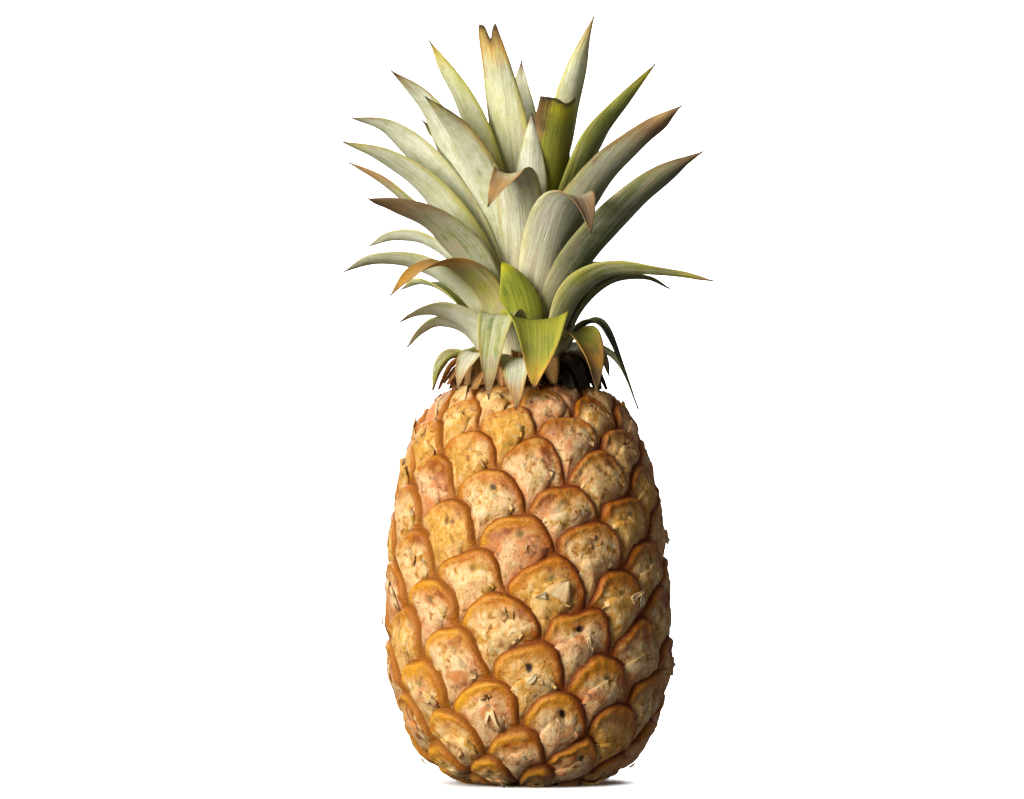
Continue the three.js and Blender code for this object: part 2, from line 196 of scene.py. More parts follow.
class Wire:
    """One value, vector or colour inside a material."""

    def __init__(self, tree, socket=None):
        self.tree = tree
        self.socket = socket

    def node(self, kind, settings=None, sockets=None, output=0):
        """Adds a node of that kind. A socket takes a number, a hex code of a colour, or another wire."""
        made = self.tree.nodes.new(kind)
        for name, value in (settings or {}).items():
            setattr(made, name, value)
        for name, value in (sockets or {}).items():
            if isinstance(value, Wire):
                self.tree.links.new(value.socket, made.inputs[name])
            else:
                made.inputs[name].default_value = paint(value) if isinstance(value, str) else value
        return Wire(self.tree, made.outputs[output])

    def maths(self, operation, *values):
        """One Math node with these values in its sockets."""
        return self.node("ShaderNodeMath", {"operation": operation}, dict(enumerate(values)))

    def __add__(self, other):
        return self.maths("ADD", self, other)

    def __sub__(self, other):
        return self.maths("SUBTRACT", self, other)

    def __rsub__(self, other):
        return self.maths("SUBTRACT", other, self)

    def __mul__(self, other):
        return self.maths("MULTIPLY", self, other)

    __radd__ = __add__
    __rmul__ = __mul__

    def __abs__(self):
        return self.maths("ABSOLUTE", self)

    def at_least(self, other):
        """The larger of the two."""
        return self.maths("MAXIMUM", self, other)

    def at_most(self, other):
        """The smaller of the two."""
        return self.maths("MINIMUM", self, other)

    def rise(self, low, high):
        """0 below low, 1 above high and an S-curve between."""
        settings = {"interpolation_type": "SMOOTHSTEP"}
        return self.node("ShaderNodeMapRange", settings, {"Value": self, "From Min": low, "From Max": high})

    def split(self):
        """The three parts of a vector."""
        return [self.node("ShaderNodeSeparateXYZ", None, {0: self}, i) for i in range(3)]

    def blend(self, first, second, share):
        """The first colour where share is 0, the second where it is 1, and a mix of both between."""
        return self.node("ShaderNodeMix", {"data_type": "RGBA"}, {0: share, 6: first, 7: second}, 2)

    def under(self, *coats):
        """This colour under more coats. Each coat is a colour and how much it covers, from 0 to 1."""
        colour = self
        for coat, cover in coats:
            colour = self.blend(colour, coat, cover)
        return colour

    def noise(self, scale, detail=3, rough=0.6, twist=0.0):
        """Cloudy noise on this vector, mostly between 0.3 and 0.7."""
        sockets = {"Vector": self, "Scale": scale, "Detail": detail, "Roughness": rough, "Distortion": twist}
        return self.node("ShaderNodeTexNoise", None, sockets)


print("white is", paint("#ffffff"), "to a shader")

# %% Finishes
class Finish(Wire):
    """A material under way. It is a wire without a socket, and knows the shader that its wires feed."""

    def __init__(self, name, roughness, specular):
        self.material = bpy.data.materials.new(name)
        self.material.use_nodes = True
        super().__init__(self.material.node_tree)
        self.shader = self.tree.nodes["Principled BSDF"]
        self.shader.inputs["Roughness"].default_value = roughness
        self.shader.inputs["Specular IOR Level"].default_value = specular

    def place(self):
        """Where a point is on the object, in metres."""
        return self.node("ShaderNodeTexCoord", output=3)

    def map(self, name):
        """The two numbers that a mesh stores at each corner of its faces, and a zero."""
        return self.node("ShaderNodeUVMap", {"uv_map": name}).split()

    def values(self, *names):
        """Numbers that a mesh stores under these names."""
        return [self.node("ShaderNodeAttribute", {"attribute_name": name}, output=2) for name in names]

    def vector(self, x, y, z):
        """Three wires as one place, where noise can be read."""
        return self.node("ShaderNodeCombineXYZ", None, {0: x, 1: y, 2: z})

    def distance(self, x, y):
        """The square root of x^2 + y^2."""
        return self.maths("SQRT", x * x + y * y)

    def feed(self, socket, wire):
        """Links a wire to one of the shader's own sockets."""
        self.tree.links.new(wire.socket, self.shader.inputs[socket])

    def bump(self, height, depth):
        """Raises the surface by a height from 0 to 1 times the depth in metres."""
        sockets = {"Height": height, "Distance": depth, "Strength": 1.0}
        self.feed("Normal", self.node("ShaderNodeBump", None, sockets))


print("shader tools are ready")

# %% [markdown]
# ## Meshes from arrays
# Two makers serve for every piece. make_piece turns points and faces into an object that stands for nodes of
# the frame. shell turns one grid of points, such as a leaf's middle surface, into a thin closed body: the
# grid is pushed out to both sides along its normals, and the two sides are joined all round.

# %% Pieces and their marks
def make_piece(name, points, faces, finish, nodes=()):
    """An object of these points, in metres, and faces, in the place of these nodes of the frame."""
    mesh = bpy.data.meshes.new(name)
    mesh.from_pydata(points.tolist(), [], faces if isinstance(faces, list) else faces.tolist())
    mesh.shade_smooth()
    mesh.materials.append(finish.material)
    piece = bpy.data.objects.new(name, mesh)
    bpy.context.scene.collection.objects.link(piece)
    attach(piece, "root")
    if nodes:
        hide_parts(*nodes)
    return piece


def give(piece, name, values, kind="FLOAT", domain="POINT"):
    """Stores values in the mesh, one for each point, corner or face, for the finish to read."""
    attribute = piece.data.attributes.new(name, kind, domain)
    field = "value" if kind == "FLOAT" else "vector"
    attribute.data.foreach_set(field, np.ravel(values).astype(np.float32))


print("pieces can be made")

# %% Grids, rings and shells
def unit(vectors):
    """Vectors in the same directions, of length 1."""
    return vectors / np.maximum(np.linalg.norm(vectors, axis=-1, keepdims=True), 1e-12)


def strip(rows, columns):
    """The two parameters of a blade at each point of its grid: t from 0 at the foot to 1 at the tip, and
    share from -1 to 1 across."""
    return np.meshgrid(np.linspace(0, 1, rows), np.linspace(-1, 1, columns), indexing="ij")


def grid_faces(rows, columns):
    """The quads of a grid of points that is stored row by row."""
    corner = np.arange(rows - 1)[:, None] * columns + np.arange(columns - 1)
    return np.stack([corner, corner + 1, corner + columns + 1, corner + columns], -1).reshape(-1, 4)


def ring_faces(rings, columns, first=0):
    """The quads between rings of points, each of which closes on itself."""
    corner = first + np.arange(rings * columns).reshape(rings, columns)
    after = np.roll(corner, -1, 1)
    return np.stack([corner[:-1], after[:-1], after[1:], corner[1:]], -1).reshape(-1, 4)


def shell(middle, thickness):
    """A grid of points (rows, columns, 3) and its thickness at each point make the closed body's points and
    faces. The first half of the points is the outer side, which is where the cross product of the directions
    along a row and down a column points."""
    rows, columns = middle.shape[:2]
    normal = unit(np.cross(np.gradient(middle, axis=1), np.gradient(middle, axis=0)))
    half = thickness[..., None] / 2 * normal
    points = np.concatenate([(middle + half).reshape(-1, 3), (middle - half).reshape(-1, 3)])
    side = grid_faces(rows, columns)
    count = rows * columns
    border = np.concatenate([
        np.arange(columns - 1),
        np.arange(rows - 1) * columns + columns - 1,
        count - 1 - np.arange(columns - 1),
        (rows - 1 - np.arange(rows - 1)) * columns,
    ])
    after = np.roll(border, -1)
    rim = np.stack([border, border + count, after + count, after], -1)
    return points, np.concatenate([side[:, ::-1], side + count, rim[:, ::-1]])


RIPPLE_WAVES = 6


def ripple(points, size, seed):
    """A smooth random field from about -1 to 1: waves of about that size, in random directions, added up."""
    random = np.random.default_rng(seed)
    directions = unit(random.normal(size=(RIPPLE_WAVES, 3)))
    waves = directions * 2 * math.pi / size * random.uniform(0.7, 1.4, (RIPPLE_WAVES, 1))
    return np.sin(points @ waves.T + random.uniform(0, 2 * math.pi, RIPPLE_WAVES)).sum(-1) / 3


def bell(distance, width):
    """1 at distance 0, falling to about a third at the width: e^-(distance / width)^2."""
    return np.exp(-((distance / width) ** 2))


print("grids can be made into shells")

# %% [markdown]
# ## The outline of the fruit
# Turned on a lathe the fruit would be a barrel: two halves of a squared-off ellipse that meet at the widest
# ring. Its outline is traced once as a list of points and its length is measured along the skin, because the
# eyes are spaced along the skin and not by height. The hollow base and the flat seat under the crown are part
# of the same line, so one sheet can cover everything.

# %% Outline
FRUIT_RADIUS = 56.8
FRUIT_HEIGHT = 160
WIDEST_HEIGHT = 62
BASE_ROUNDING = 3.55
SHOULDER_ROUNDING = 4.2
BASE_TRIM = 0.6
SEAT_TRIM = 1
FRUIT_LEAN = -2.2
BASE_HOLLOW = 2.5
SEAT_RISE = 4
SIDE_POINTS = 800
END_POINTS = 80


def trace_outline():
    """Radius and height from the middle of the base, up the side and in to the middle of the seat, and the
    length along them, which is 0 where the side starts. On the side the radius is
    (1 - s^2)^(1 / rounding) of the widest one, where s is the share of the way to that end."""
    z = FRUIT_HEIGHT * (1 - np.cos(np.linspace(0, math.pi, SIDE_POINTS))) / 2
    above = z > WIDEST_HEIGHT
    reach = np.where(above, FRUIT_HEIGHT + SEAT_TRIM - WIDEST_HEIGHT, WIDEST_HEIGHT + BASE_TRIM)
    rounding = np.where(above, SHOULDER_ROUNDING, BASE_ROUNDING)
    r = FRUIT_RADIUS * (1 - ((z - WIDEST_HEIGHT) / reach) ** 2) ** (1 / rounding)
    outwards = np.linspace(0, 1, END_POINTS)[:-1]
    inwards = outwards[::-1]
    all_r = np.concatenate([r[0] * outwards, r, r[-1] * inwards])
    base_z = BASE_HOLLOW * (1 - outwards**2) ** 2
    all_z = np.concatenate([base_z, z, FRUIT_HEIGHT + SEAT_RISE * (1 - inwards**2)])
    along = np.concatenate([[0], np.cumsum(np.hypot(np.diff(all_r), np.diff(all_z)))])
    along -= along[len(outwards)]
    return all_r, all_z, along, along[len(outwards) + SIDE_POINTS - 1]


OUTLINE_R, OUTLINE_Z, OUTLINE_ALONG, SIDE_LENGTH = trace_outline()
OUTLINE_SLOPE = np.unwrap(np.arctan2(np.gradient(OUTLINE_Z), np.gradient(OUTLINE_R)))
FRAME_FRUIT_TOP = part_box("fruit")[1].z
print("the outline is", round(SIDE_LENGTH, 1), "mm long from base to seat")
print("its seat is", FRUIT_HEIGHT, "mm up, and the frame's fruit", round(FRAME_FRUIT_TOP / MM, 1), "mm tall")

# %% [markdown]
# ## One eye, many times
# Count the eyes down the spiral. Eye 8 steps on lies just below to the left, and eye 13 steps on just below
# to the right: those are the two sets of slanting rows that one sees on the fruit. So the whole skin is a
# lattice with these two steps, and each cell of it is one eye. A plain cell would be a diamond. Its two upper
# sides are bent into a round arch, and the same two bends shape the lower sides, so the cells still fit
# together without gaps: an arch on top, and below a point between the arches of the next two eyes, like the
# scales of a fish.

# %% The lattice of eyes
GOLDEN_ANGLE = math.radians(137.508)
FIRST_EYE = -86
LAST_EYE = 90
ZERO_EYE_HEIGHT = 101
ZERO_EYE_TURN = math.radians(-2)
EYE_RISE = 1.45
EYE_RISE_GROWTH = 0.0026
EYE_LEAN = 0.073
LEFT_STEP = 8
RIGHT_STEP = 13


def wrapped(turn):
    """The same turn, from half a circle back to half a circle on."""
    return (turn + math.pi) % (2 * math.pi) - math.pi


EYES = np.arange(FIRST_EYE, LAST_EYE + 1)
LEFT_TURN = wrapped(-LEFT_STEP * GOLDEN_ANGLE)
RIGHT_TURN = wrapped(-RIGHT_STEP * GOLDEN_ANGLE)
ON_SIDE = slice(END_POINTS, -END_POINTS)
ZERO_ALONG = float(np.interp(ZERO_EYE_HEIGHT, OUTLINE_Z[ON_SIDE], OUTLINE_ALONG[ON_SIDE]))
LEFT_SIDE = FRUIT_RADIUS * LEFT_TURN * np.array([1, EYE_LEAN]) - [0, EYE_RISE * LEFT_STEP]
RIGHT_SIDE = FRUIT_RADIUS * RIGHT_TURN * np.array([1, EYE_LEAN]) - [0, EYE_RISE * RIGHT_STEP]
TO_LATTICE = np.linalg.inv(np.stack([LEFT_SIDE, RIGHT_SIDE], 1))


def off_outline(along, height):
    """Radius and height of a place on the outline that stands out from it square to its slope."""
    slope = np.interp(along, OUTLINE_ALONG, OUTLINE_SLOPE)
    r = np.interp(along, OUTLINE_ALONG, OUTLINE_R) + height * np.sin(slope)
    return r, np.interp(along, OUTLINE_ALONG, OUTLINE_Z) - height * np.cos(slope)


def on_skin(number, uv, height):
    """A point of the skin, in metres, and how far along the outline it lies. number is the number of an eye,
    uv the millimetres right of and above its middle, and height the millimetres that it stands out. uv
    becomes steps of the lattice, those become a turn round the fruit and a length along the outline, and the
    outline gives radius, height and direction out."""
    left, right = np.moveaxis(uv @ TO_LATTICE.T, -1, 0)
    turn = ZERO_EYE_TURN - number * GOLDEN_ANGLE + LEFT_TURN * left + RIGHT_TURN * right
    count = number + LEFT_STEP * left + RIGHT_STEP * right
    along = ZERO_ALONG - EYE_RISE * count - EYE_RISE_GROWTH * count**2
    along = along + EYE_LEAN * np.interp(along, OUTLINE_ALONG, OUTLINE_R) * np.sin(turn)
    r, z = off_outline(along, height)
    z = np.maximum(z, 0)
    x = r * np.sin(turn) + FRUIT_LEAN * z / FRUIT_HEIGHT
    return np.stack([x, -r * np.cos(turn), z], -1) * MM, along


print("the lattice's sides are", np.round(LEFT_SIDE, 1), "and", np.round(RIGHT_SIDE, 1), "mm")

# %% The grid of one eye
ARCH_TOP = np.array([0.8, 9.6])
ARCH_LEFT = np.array([[-10.5, -0.5], [-18, -4]])
ARCH_RIGHT = np.array([[8.3, -0.5], [12, -7.5]])
EYE_GRID = 24
EVEN_SHARE = 0.6
EDGE_POINTS = 200


def arch_curve(pulls, end, share):
    """The curve from the arch's top to one shoulder: a cubic drawn towards two points on the way."""
    share = share[..., None]
    return 3 * (1 - share) ** 2 * share * pulls[0] + 3 * (1 - share) * share**2 * pulls[1] + share**3 * end


def distance_to(line, points):
    """From each point to the nearest point of a line that is given as many points."""
    return np.min(np.linalg.norm(points[..., None, :] - line, axis=-1), -1)


def eye_template():
    """Places in one cell, from its middle, and how far each is from the arch above and from the edges below.
    A place is the arch's left curve at s plus its right curve at t, so opposite sides are alike. Rows and
    columns are closer together towards the edges."""
    even = np.linspace(0, 1, EYE_GRID + 1)
    share = EVEN_SHARE * even + (1 - EVEN_SHARE) * (1 - np.cos(math.pi * even)) / 2
    left = arch_curve(ARCH_LEFT, LEFT_SIDE, share)
    right = arch_curve(ARCH_RIGHT, RIGHT_SIDE, share)
    uv = ARCH_TOP + left[:, None] + right[None, :]
    fine = np.linspace(0, 1, EDGE_POINTS)
    left, right = arch_curve(ARCH_LEFT, LEFT_SIDE, fine), arch_curve(ARCH_RIGHT, RIGHT_SIDE, fine)
    top = distance_to(ARCH_TOP + np.concatenate([left, right]), uv)
    low = distance_to(ARCH_TOP + np.concatenate([LEFT_SIDE + right, RIGHT_SIDE + left]), uv)
    top[0, :] = top[:, 0] = 0
    low[-1, :] = low[:, -1] = 0
    return uv, top, low


EYE_UV, EYE_TOP, EYE_LOW = eye_template()
EYE_POINT = EYE_UV[-1, -1]
print("an eye is", np.round(np.ptp(EYE_UV.reshape(-1, 2), axis=0), 1), "mm wide and high")

# %% [markdown]
# ## The skin
# Each eye stands out like a low dome. Its arch is a raised lip over a dark groove, and its lower end sinks
# under the arches of the next eyes. In the middle is a small cup where the flower was. The height is worked
# out from the place in the eye, and the distances to the edges say where the groove, the lip and the shield
# begin. All eyes share one grid, and the places where neighbours meet are merged, so the skin is one closed
# sheet.

# %% How far the skin stands out, in millimetres
GROOVE_DEPTH = 1.8
ARCH_EDGE = 0.25
ARCH_RUN = 3.4
ARCH_STEEPNESS = 2.4
FOOT_RUN = 5
EYE_DOME = 2.4
DOME_SPREAD = 0.36
EYE_TILT = 0.035
LIP, LIP_FROM_TOP, LIP_WIDTH = 0.3, 2.2, 1.1
TROUGH, TROUGH_FROM_TOP, TROUGH_WIDTH = 0.4, 4.8, 1.5
SHIELD_TOP = 1.5
SHIELD_HEIGHT = 0.3
SHIELD_EDGE = 0.5
SHIELD_FADE = 6
TEAR, TEAR_SIZE, TEAR_SAG = 1.6, 6, 0.03
CUP = np.array([-1.2, 0.9])
CUP_DEPTH = 1.3
CUP_RADIUS = 1.7
HOLE_DEEPER = 1.8
HOLED_EYES = [26, 34, 42, 47]
BUMPS, BUMP_SIZE = 0.28, 5
PIMPLES, PIMPLE_SIZE = 0.16, 2.6
SWAY, SWAY_SIZE, SWAY_SEEDS = 1.5, 30, (2708, 1554)
WOBBLE, WOBBLE_SIZE, WOBBLE_SEEDS = 0.3, 7, (23, 24)
BASE_FADE = 6
SEAT_FADE = 14
EYE_SEED = 7


def eye_chances():
    """Four random numbers for each eye. The last one is 1 where the flower's cup is an open hole."""
    chances = np.random.default_rng(EYE_SEED).uniform(0, 1, (len(EYES), 4))
    chances[:, 3] *= 0.8
    chances[np.isin(EYES, HOLED_EYES), 3] = 1
    return chances


EYE_CHANCES = eye_chances()


def skin_height(places):
    """Millimetres above the barrel for each eye and place, also in millimetres: a dome that is steep at the
    arch and gentle below, a lip inside the arch, a shallow trough behind it, a shield with a torn upper edge,
    and the flower's cup."""
    u, v = EYE_UV[..., 0], EYE_UV[..., 1]
    size, depth, _, hole = EYE_CHANCES.T[:, :, None, None]
    steep = 1 - (1 - np.clip((EYE_TOP - ARCH_EDGE) / ARCH_RUN, 0, 1)) ** ARCH_STEEPNESS
    gentle = np.sin(np.clip(EYE_LOW / FOOT_RUN, 0, 1) * math.pi / 2)
    dome = EYE_DOME * (1 + DOME_SPREAD * (size - 0.5)) + EYE_TILT * v
    lip = LIP * bell(EYE_TOP - LIP_FROM_TOP, LIP_WIDTH)
    trough = TROUGH * bell(EYE_TOP - TROUGH_FROM_TOP, TROUGH_WIDTH)
    torn = SHIELD_TOP + TEAR * ripple(places, TEAR_SIZE, 11) - TEAR_SAG * u**2
    shield = SHIELD_HEIGHT / (1 + np.exp((v - torn) / SHIELD_EDGE)) * np.clip(EYE_TOP / SHIELD_FADE, 0, 1)
    cup = -CUP_DEPTH * bell(np.hypot(u - CUP[0], v - CUP[1]), CUP_RADIUS) * np.clip(2 * depth, 0.2, 1)
    cup = np.where(hole == 1, HOLE_DEEPER, 1) * cup
    bumps = BUMPS * ripple(places, BUMP_SIZE, 3) + PIMPLES * ripple(places, PIMPLE_SIZE, 5)
    return steep * gentle * (dome + lip - trough + shield + cup + bumps) - GROOVE_DEPTH


def bent(places):
    """How far the cells' edges stray from the perfect lattice, right and up: a slow sway and a quick wobble.
    The places are in metres."""
    sway = np.stack([ripple(places / MM, SWAY_SIZE, seed) for seed in SWAY_SEEDS], -1)
    wobble = np.stack([ripple(places / MM, WOBBLE_SIZE, seed) for seed in WOBBLE_SEEDS], -1)
    return SWAY * sway + WOBBLE * wobble


def skin_surface():
    """Every eye's grid of points, how far along the outline each lies, and how far it stands out."""
    number = EYES[:, None, None]
    plain, _ = on_skin(number, EYE_UV, 0)
    uv = EYE_UV + bent(plain)
    places, along = on_skin(number, uv, 0)
    fade = np.clip(np.minimum(along / BASE_FADE, (SIDE_LENGTH - along) / SEAT_FADE), 0, 1)
    height = skin_height(places / MM) * fade
    points, _ = on_skin(number, uv, height)
    return points, along, height


SKIN_POINTS, SKIN_ALONG, SKIN_RELIEF = skin_surface()
print("the skin stands out by", np.round([SKIN_RELIEF.min(), SKIN_RELIEF.max()], 2), "mm")

# %% The skin as one sheet
CORE_RADIUS = 2
MERGE_DISTANCE = 0.004


def merged(points, faces):
    """Joins points that lie together, and turns the faces' numbers to match."""
    key = np.round(points / (MERGE_DISTANCE * MM)).astype(np.int64)
    _, first, place = np.unique(key, axis=0, return_index=True, return_inverse=True)
    return points[first], place.reshape(-1)[faces]


def eye_faces():
    """All eyes' quads, and which of them stay because they don't lie in the middle of the seat or base."""
    outside = SKIN_ALONG < OUTLINE_ALONG[0] + CORE_RADIUS
    outside |= SKIN_ALONG > OUTLINE_ALONG[-1] - CORE_RADIUS
    size = (EYE_GRID + 1) ** 2
    cell = grid_faces(EYE_GRID + 1, EYE_GRID + 1)[:, ::-1]
    faces = (np.arange(len(EYES))[:, None, None] * size + cell).reshape(-1, 4)
    return faces, ~outside.reshape(-1)[faces].any(1)


def open_edges(faces):
    """The edges that only one face uses, each in the direction that closes the hole it borders."""
    edges = np.stack([faces, np.roll(faces, -1, 1)], -1).reshape(-1, 2)
    _, place, count = np.unique(np.sort(edges, 1), axis=0, return_inverse=True, return_counts=True)
    return edges[count[place.reshape(-1)] == 1][:, ::-1]


def make_skin(finish):
    """The eyes' quads, merged, with a fan of triangles round a point in the middle of base and seat."""
    all_faces, kept = eye_faces()
    points, faces = merged(SKIN_POINTS.reshape(-1, 3), all_faces[kept])
    border = open_edges(faces)
    ends = np.array([[0, 0, BASE_HOLLOW], [FRUIT_LEAN, 0, FRUIT_HEIGHT + SEAT_RISE]]) * MM
    upper = points[border[:, 0], 2] > FRUIT_HEIGHT * MM / 2
    fans = np.column_stack([border, len(points) + upper])
    sheet = faces.tolist() + fans.tolist()
    piece = make_piece("fruit_skin", np.vstack([points, ends]), sheet, finish, ["fruit"])
    at_fans = np.zeros((3 * len(fans), 2))
    for name, pair in (("eye", EYE_UV), ("edges", np.stack([EYE_TOP, EYE_LOW], -1))):
        corners = np.tile(pair.reshape(-1, 2), (len(EYES), 1))[all_faces[kept]]
        give(piece, name, np.vstack([corners.reshape(-1, 2), at_fans]), "FLOAT2", "CORNER")
    chances = np.repeat(EYE_CHANCES, EYE_GRID**2, 0)[kept]
    for i, name in enumerate(["chance_a", "chance_b", "chance_c"]):
        give(piece, name, np.concatenate([chances[:, i + 1], np.full(len(fans), 0.5)]), "FLOAT", "FACE")
    print("the skin has", 2 * len(faces) + len(fans), "triangles and", len(border), "edges round its poles")


# %% [markdown]
# ## The finish of the skin
# Down in the grooves the skin is a deep brown, partly its own colour and partly painted shade. The lip of
# each arch is smooth and golden, because it has ripened in the light. Behind it the eye is rusty orange, and
# the
# shield below is dry and papery: cream, yellow and pinkish fibres that run together towards the point at the
# bottom. The side away from the main light is painted darker and redder as painted shade, and so is the right
# part of each eye. The flower's open holes are painted near black as painted shadow, and the skin near the
# table is painted darker as painted shade. All the borders are ragged, so each mask is a distance with some
# noise added to it before it is turned into an S-curve.

# %% The dry paper of the shields
def papery(finish, u, v, hue, cloud, patch):
    """The dry colours of a shield and its fibres, which fan out from the eye's lower point."""
    fan_x, fan_y = u - float(EYE_POINT[0]), v - float(EYE_POINT[1])
    angle = finish.maths("ARCTAN2", fan_x, fan_y)
    reach = finish.distance(fan_x, fan_y)
    fibres = finish.vector(angle * 9, reach * 0.14, hue * 40).noise(1.0, 3, 0.6, 1.0)
    pale = (fibres * 0.2 + patch * 0.55 + cloud * 0.4 + (hue - 0.5) * 0.15).rise(0.48, 0.68)
    yellow = ((1 - hue) * 0.16 + cloud * 0.55 + fibres * 0.45).rise(0.5, 0.74)
    orange = (patch * 0.3 + cloud * 0.7 + hue * 0.25).rise(0.6, 0.84)
    pink = (cloud * 0.5 + (1 - patch) * 0.6).rise(0.56, 0.72)
    paper = finish.blend("#cf9338", "#f3e3b4", pale).under(
        ("#8d5526", (1 - fibres).rise(0.54, 0.68) * 0.3),
        ("#ad6f42", (1 - reach.rise(4, 13)) * 0.5),
        ("#e3b045", yellow * 0.6),
        ("#c66a12", orange * 0.85),
        ("#b07f68", pink * 0.5),
        ("#9c8a3e", (1 - cloud).rise(0.54, 0.68) * 0.45),
        ("#6b3a16", (1 - patch).rise(0.55, 0.68) * 0.65),
    )
    return paper, fibres


def skin_clouds(place):
    """The large and the middle-sized patches that skin and bracts share."""
    return place.noise(95, 4, 0.6, 0.6), place.noise(290, 4, 0.65, 0.5)


print("shields and bracts share one paper")

# %% Skin finish
RED_GLAZE = "#6a2400"


def skin_finish():
    """Rust under the paper of the shield, the gold of the lip, the flank between lip and groove, the cup,
    specks, and the brown of the seams and grooves, which is partly painted shade. Painted shade also darkens
    the side away from the main light, the right part of each eye and the skin near the table, and painted
    shadow fills the open holes. top and low are millimetres from the arch and from the lower edges."""
    finish = Finish("pineapple_skin", 0.5, 0.3)
    place = finish.place()
    u, v, _ = finish.map("eye")
    top, low, _ = finish.map("edges")
    hue, age, pit = finish.values("chance_a", "chance_b", "chance_c")
    side, _, height = place.split()
    ripe = 1 - height.rise(0.02, 0.12)
    # Grows towards +x, the side away from the main light: painted shade that makes that side darker and
    # redder.
    painted_shade_side = side.rise(-0.045, 0.035)
    cloud, patch = skin_clouds(place)
    grain = place.noise(620, 4, 0.65)
    speck = place.noise(1300, 3, 0.6)
    ragged = (cloud - 0.5) * 9 + (patch - 0.5) * 9 + (grain - 0.5) * 4
    cream, fibres = papery(finish, u, v, hue, cloud, patch)
    # groove and seam mark the two sides of the valley between eyes; the brown laid there below is partly the
    # skin's own colour and partly painted shade.
    groove = 1 - (top + (grain - 0.5) * 1.4).rise(0.5, 2.3)
    flank = 1 - (top + ragged * 0.15).rise(1.6, 3.6)
    seam = 1 - (low + (grain - 0.5) * 1.2).rise(0.2, 1.6)
    lit = cloud * 0.7 + patch * 0.4 + ripe * 0.15 + (age - 0.5) * 0.2
    lip = (1 - (top + ragged * 0.8 - age * 1.5).rise(1.0, 5.5)) * lit.rise(0.46, 0.7)
    # Grows towards the right of each eye, away from the main light: painted shade.
    painted_shade_right = (u + ragged * 0.8).rise(-2, 9)
    shield = 1 - (v + ragged * 1.2 + (hue - 0.5) * 5).rise(-1.5, 6.5)
    shield = shield * (top + ragged * 0.8 - age * 2).rise(0.2, 5.2)
    from_cup = finish.distance(u - float(CUP[0]), v - float(CUP[1]))
    cup = 1 - (from_cup + (grain - 0.5) * 1.5).rise(0.7, 2.0)
    # Here and in the coats below, what grows towards +x or towards the right of each eye is painted shade,
    # away from the main light on the left.
    gold = finish.blend("#dc9420", "#eeae2a", (ripe * 0.5 + hue * 0.4 + (cloud - 0.5)).rise(0.2, 0.7)).under(
        ("#a8540c", patch.rise(0.54, 0.68) * 0.7),
        ("#b0520c", painted_shade_side * 0.45),
        ("#964208", painted_shade_right * 0.8),
    )
    rust = finish.blend("#ba6c12", "#d09a48", patch.rise(0.42, 0.62))
    skin = rust.under(
        ("#803504", (cloud.rise(0.48, 0.66) + painted_shade_right * 0.35).at_most(1) * 0.85),
        (cream, shield),
        (gold, lip * 0.9),
        (finish.blend("#b97410", "#943c04", painted_shade_side), flank * (0.25 + painted_shade_right * 0.35)),
        ("#6e6730", cup * age.rise(0.3, 0.6) * 0.7),
        # Near-black in the deeper cups: painted shadow in the flower's open hole.
        ("#1c0f06", cup * pit.rise(0.7, 0.85)),
        ("#5f2a16", speck.rise(0.62, 0.74) * 0.6),
        # Brown along seams and grooves: partly the skin's own colour, partly painted shade.
        ("#a04c0c", seam * 0.5),
        (finish.blend("#8a5110", "#6c2a04", painted_shade_side), groove * 0.95),
        # Olive darkening within about 9 mm of the table: painted shade under the fruit.
        ("#3b3218", (1 - (height * 1000 + ragged).rise(1, 9)) * 0.5),
        # A red tint all over, and more of it towards +x, away from the main light, as painted shade.
        (RED_GLAZE, 0.05 + painted_shade_side * 0.06),
    )
    finish.feed("Base Color", skin)
    finish.feed("Roughness", 0.42 + shield * 0.25 + groove * 0.4 + (grain - 0.5) * 0.25)
    finish.bump(grain * 0.5 + fibres * shield * 0.3 + speck * 0.2 + patch * 0.9, 0.8 * MM)
    return finish


make_skin(skin_finish())

# %% [markdown]
# ## The crown
# A crown leaf is a channel: thick along its middle, thin at its margins, and wrapped round the stem at its
# foot. Its midrib is a smooth curve through a few points in an upright plane, from the foot to the tip. Each
# leaf is described by that curve, its half width, the compass direction that it leaves in, and what age has
# done to it. The leaves at the front and the sides are set one by one, and those behind follow in rings.
#
# A leaf's shape also has a roll and a sweep to the side, and its tip may be blunt or notched. Its moods say
# how far the tip has dried, how golden, silvery with bloom and fresh it is, how scorched one margin is, and
# how much painted shade darkens it where it stands in shadow.

# %% Leaves in the heart and on the left
LEAF_MOODS = ["dry", "gold", "bloom", "fresh", "shade", "scorch"]
PLAIN_SHAPE = dict(roll=0, sweep=0, blunt=0, notch=0)
PLAIN_MOODS = dict(dry=0.15, gold=0.35, bloom=0.6, fresh=0, shade=0, scorch=0)


def plan(name, azimuth, half, midrib, **own):
    """One leaf. The midrib's points are millimetres out from the crown's axis and up from the table."""
    own.update(name=name, azimuth=azimuth, half=half, midrib=midrib)
    return {**PLAIN_SHAPE, **PLAIN_MOODS, **own}


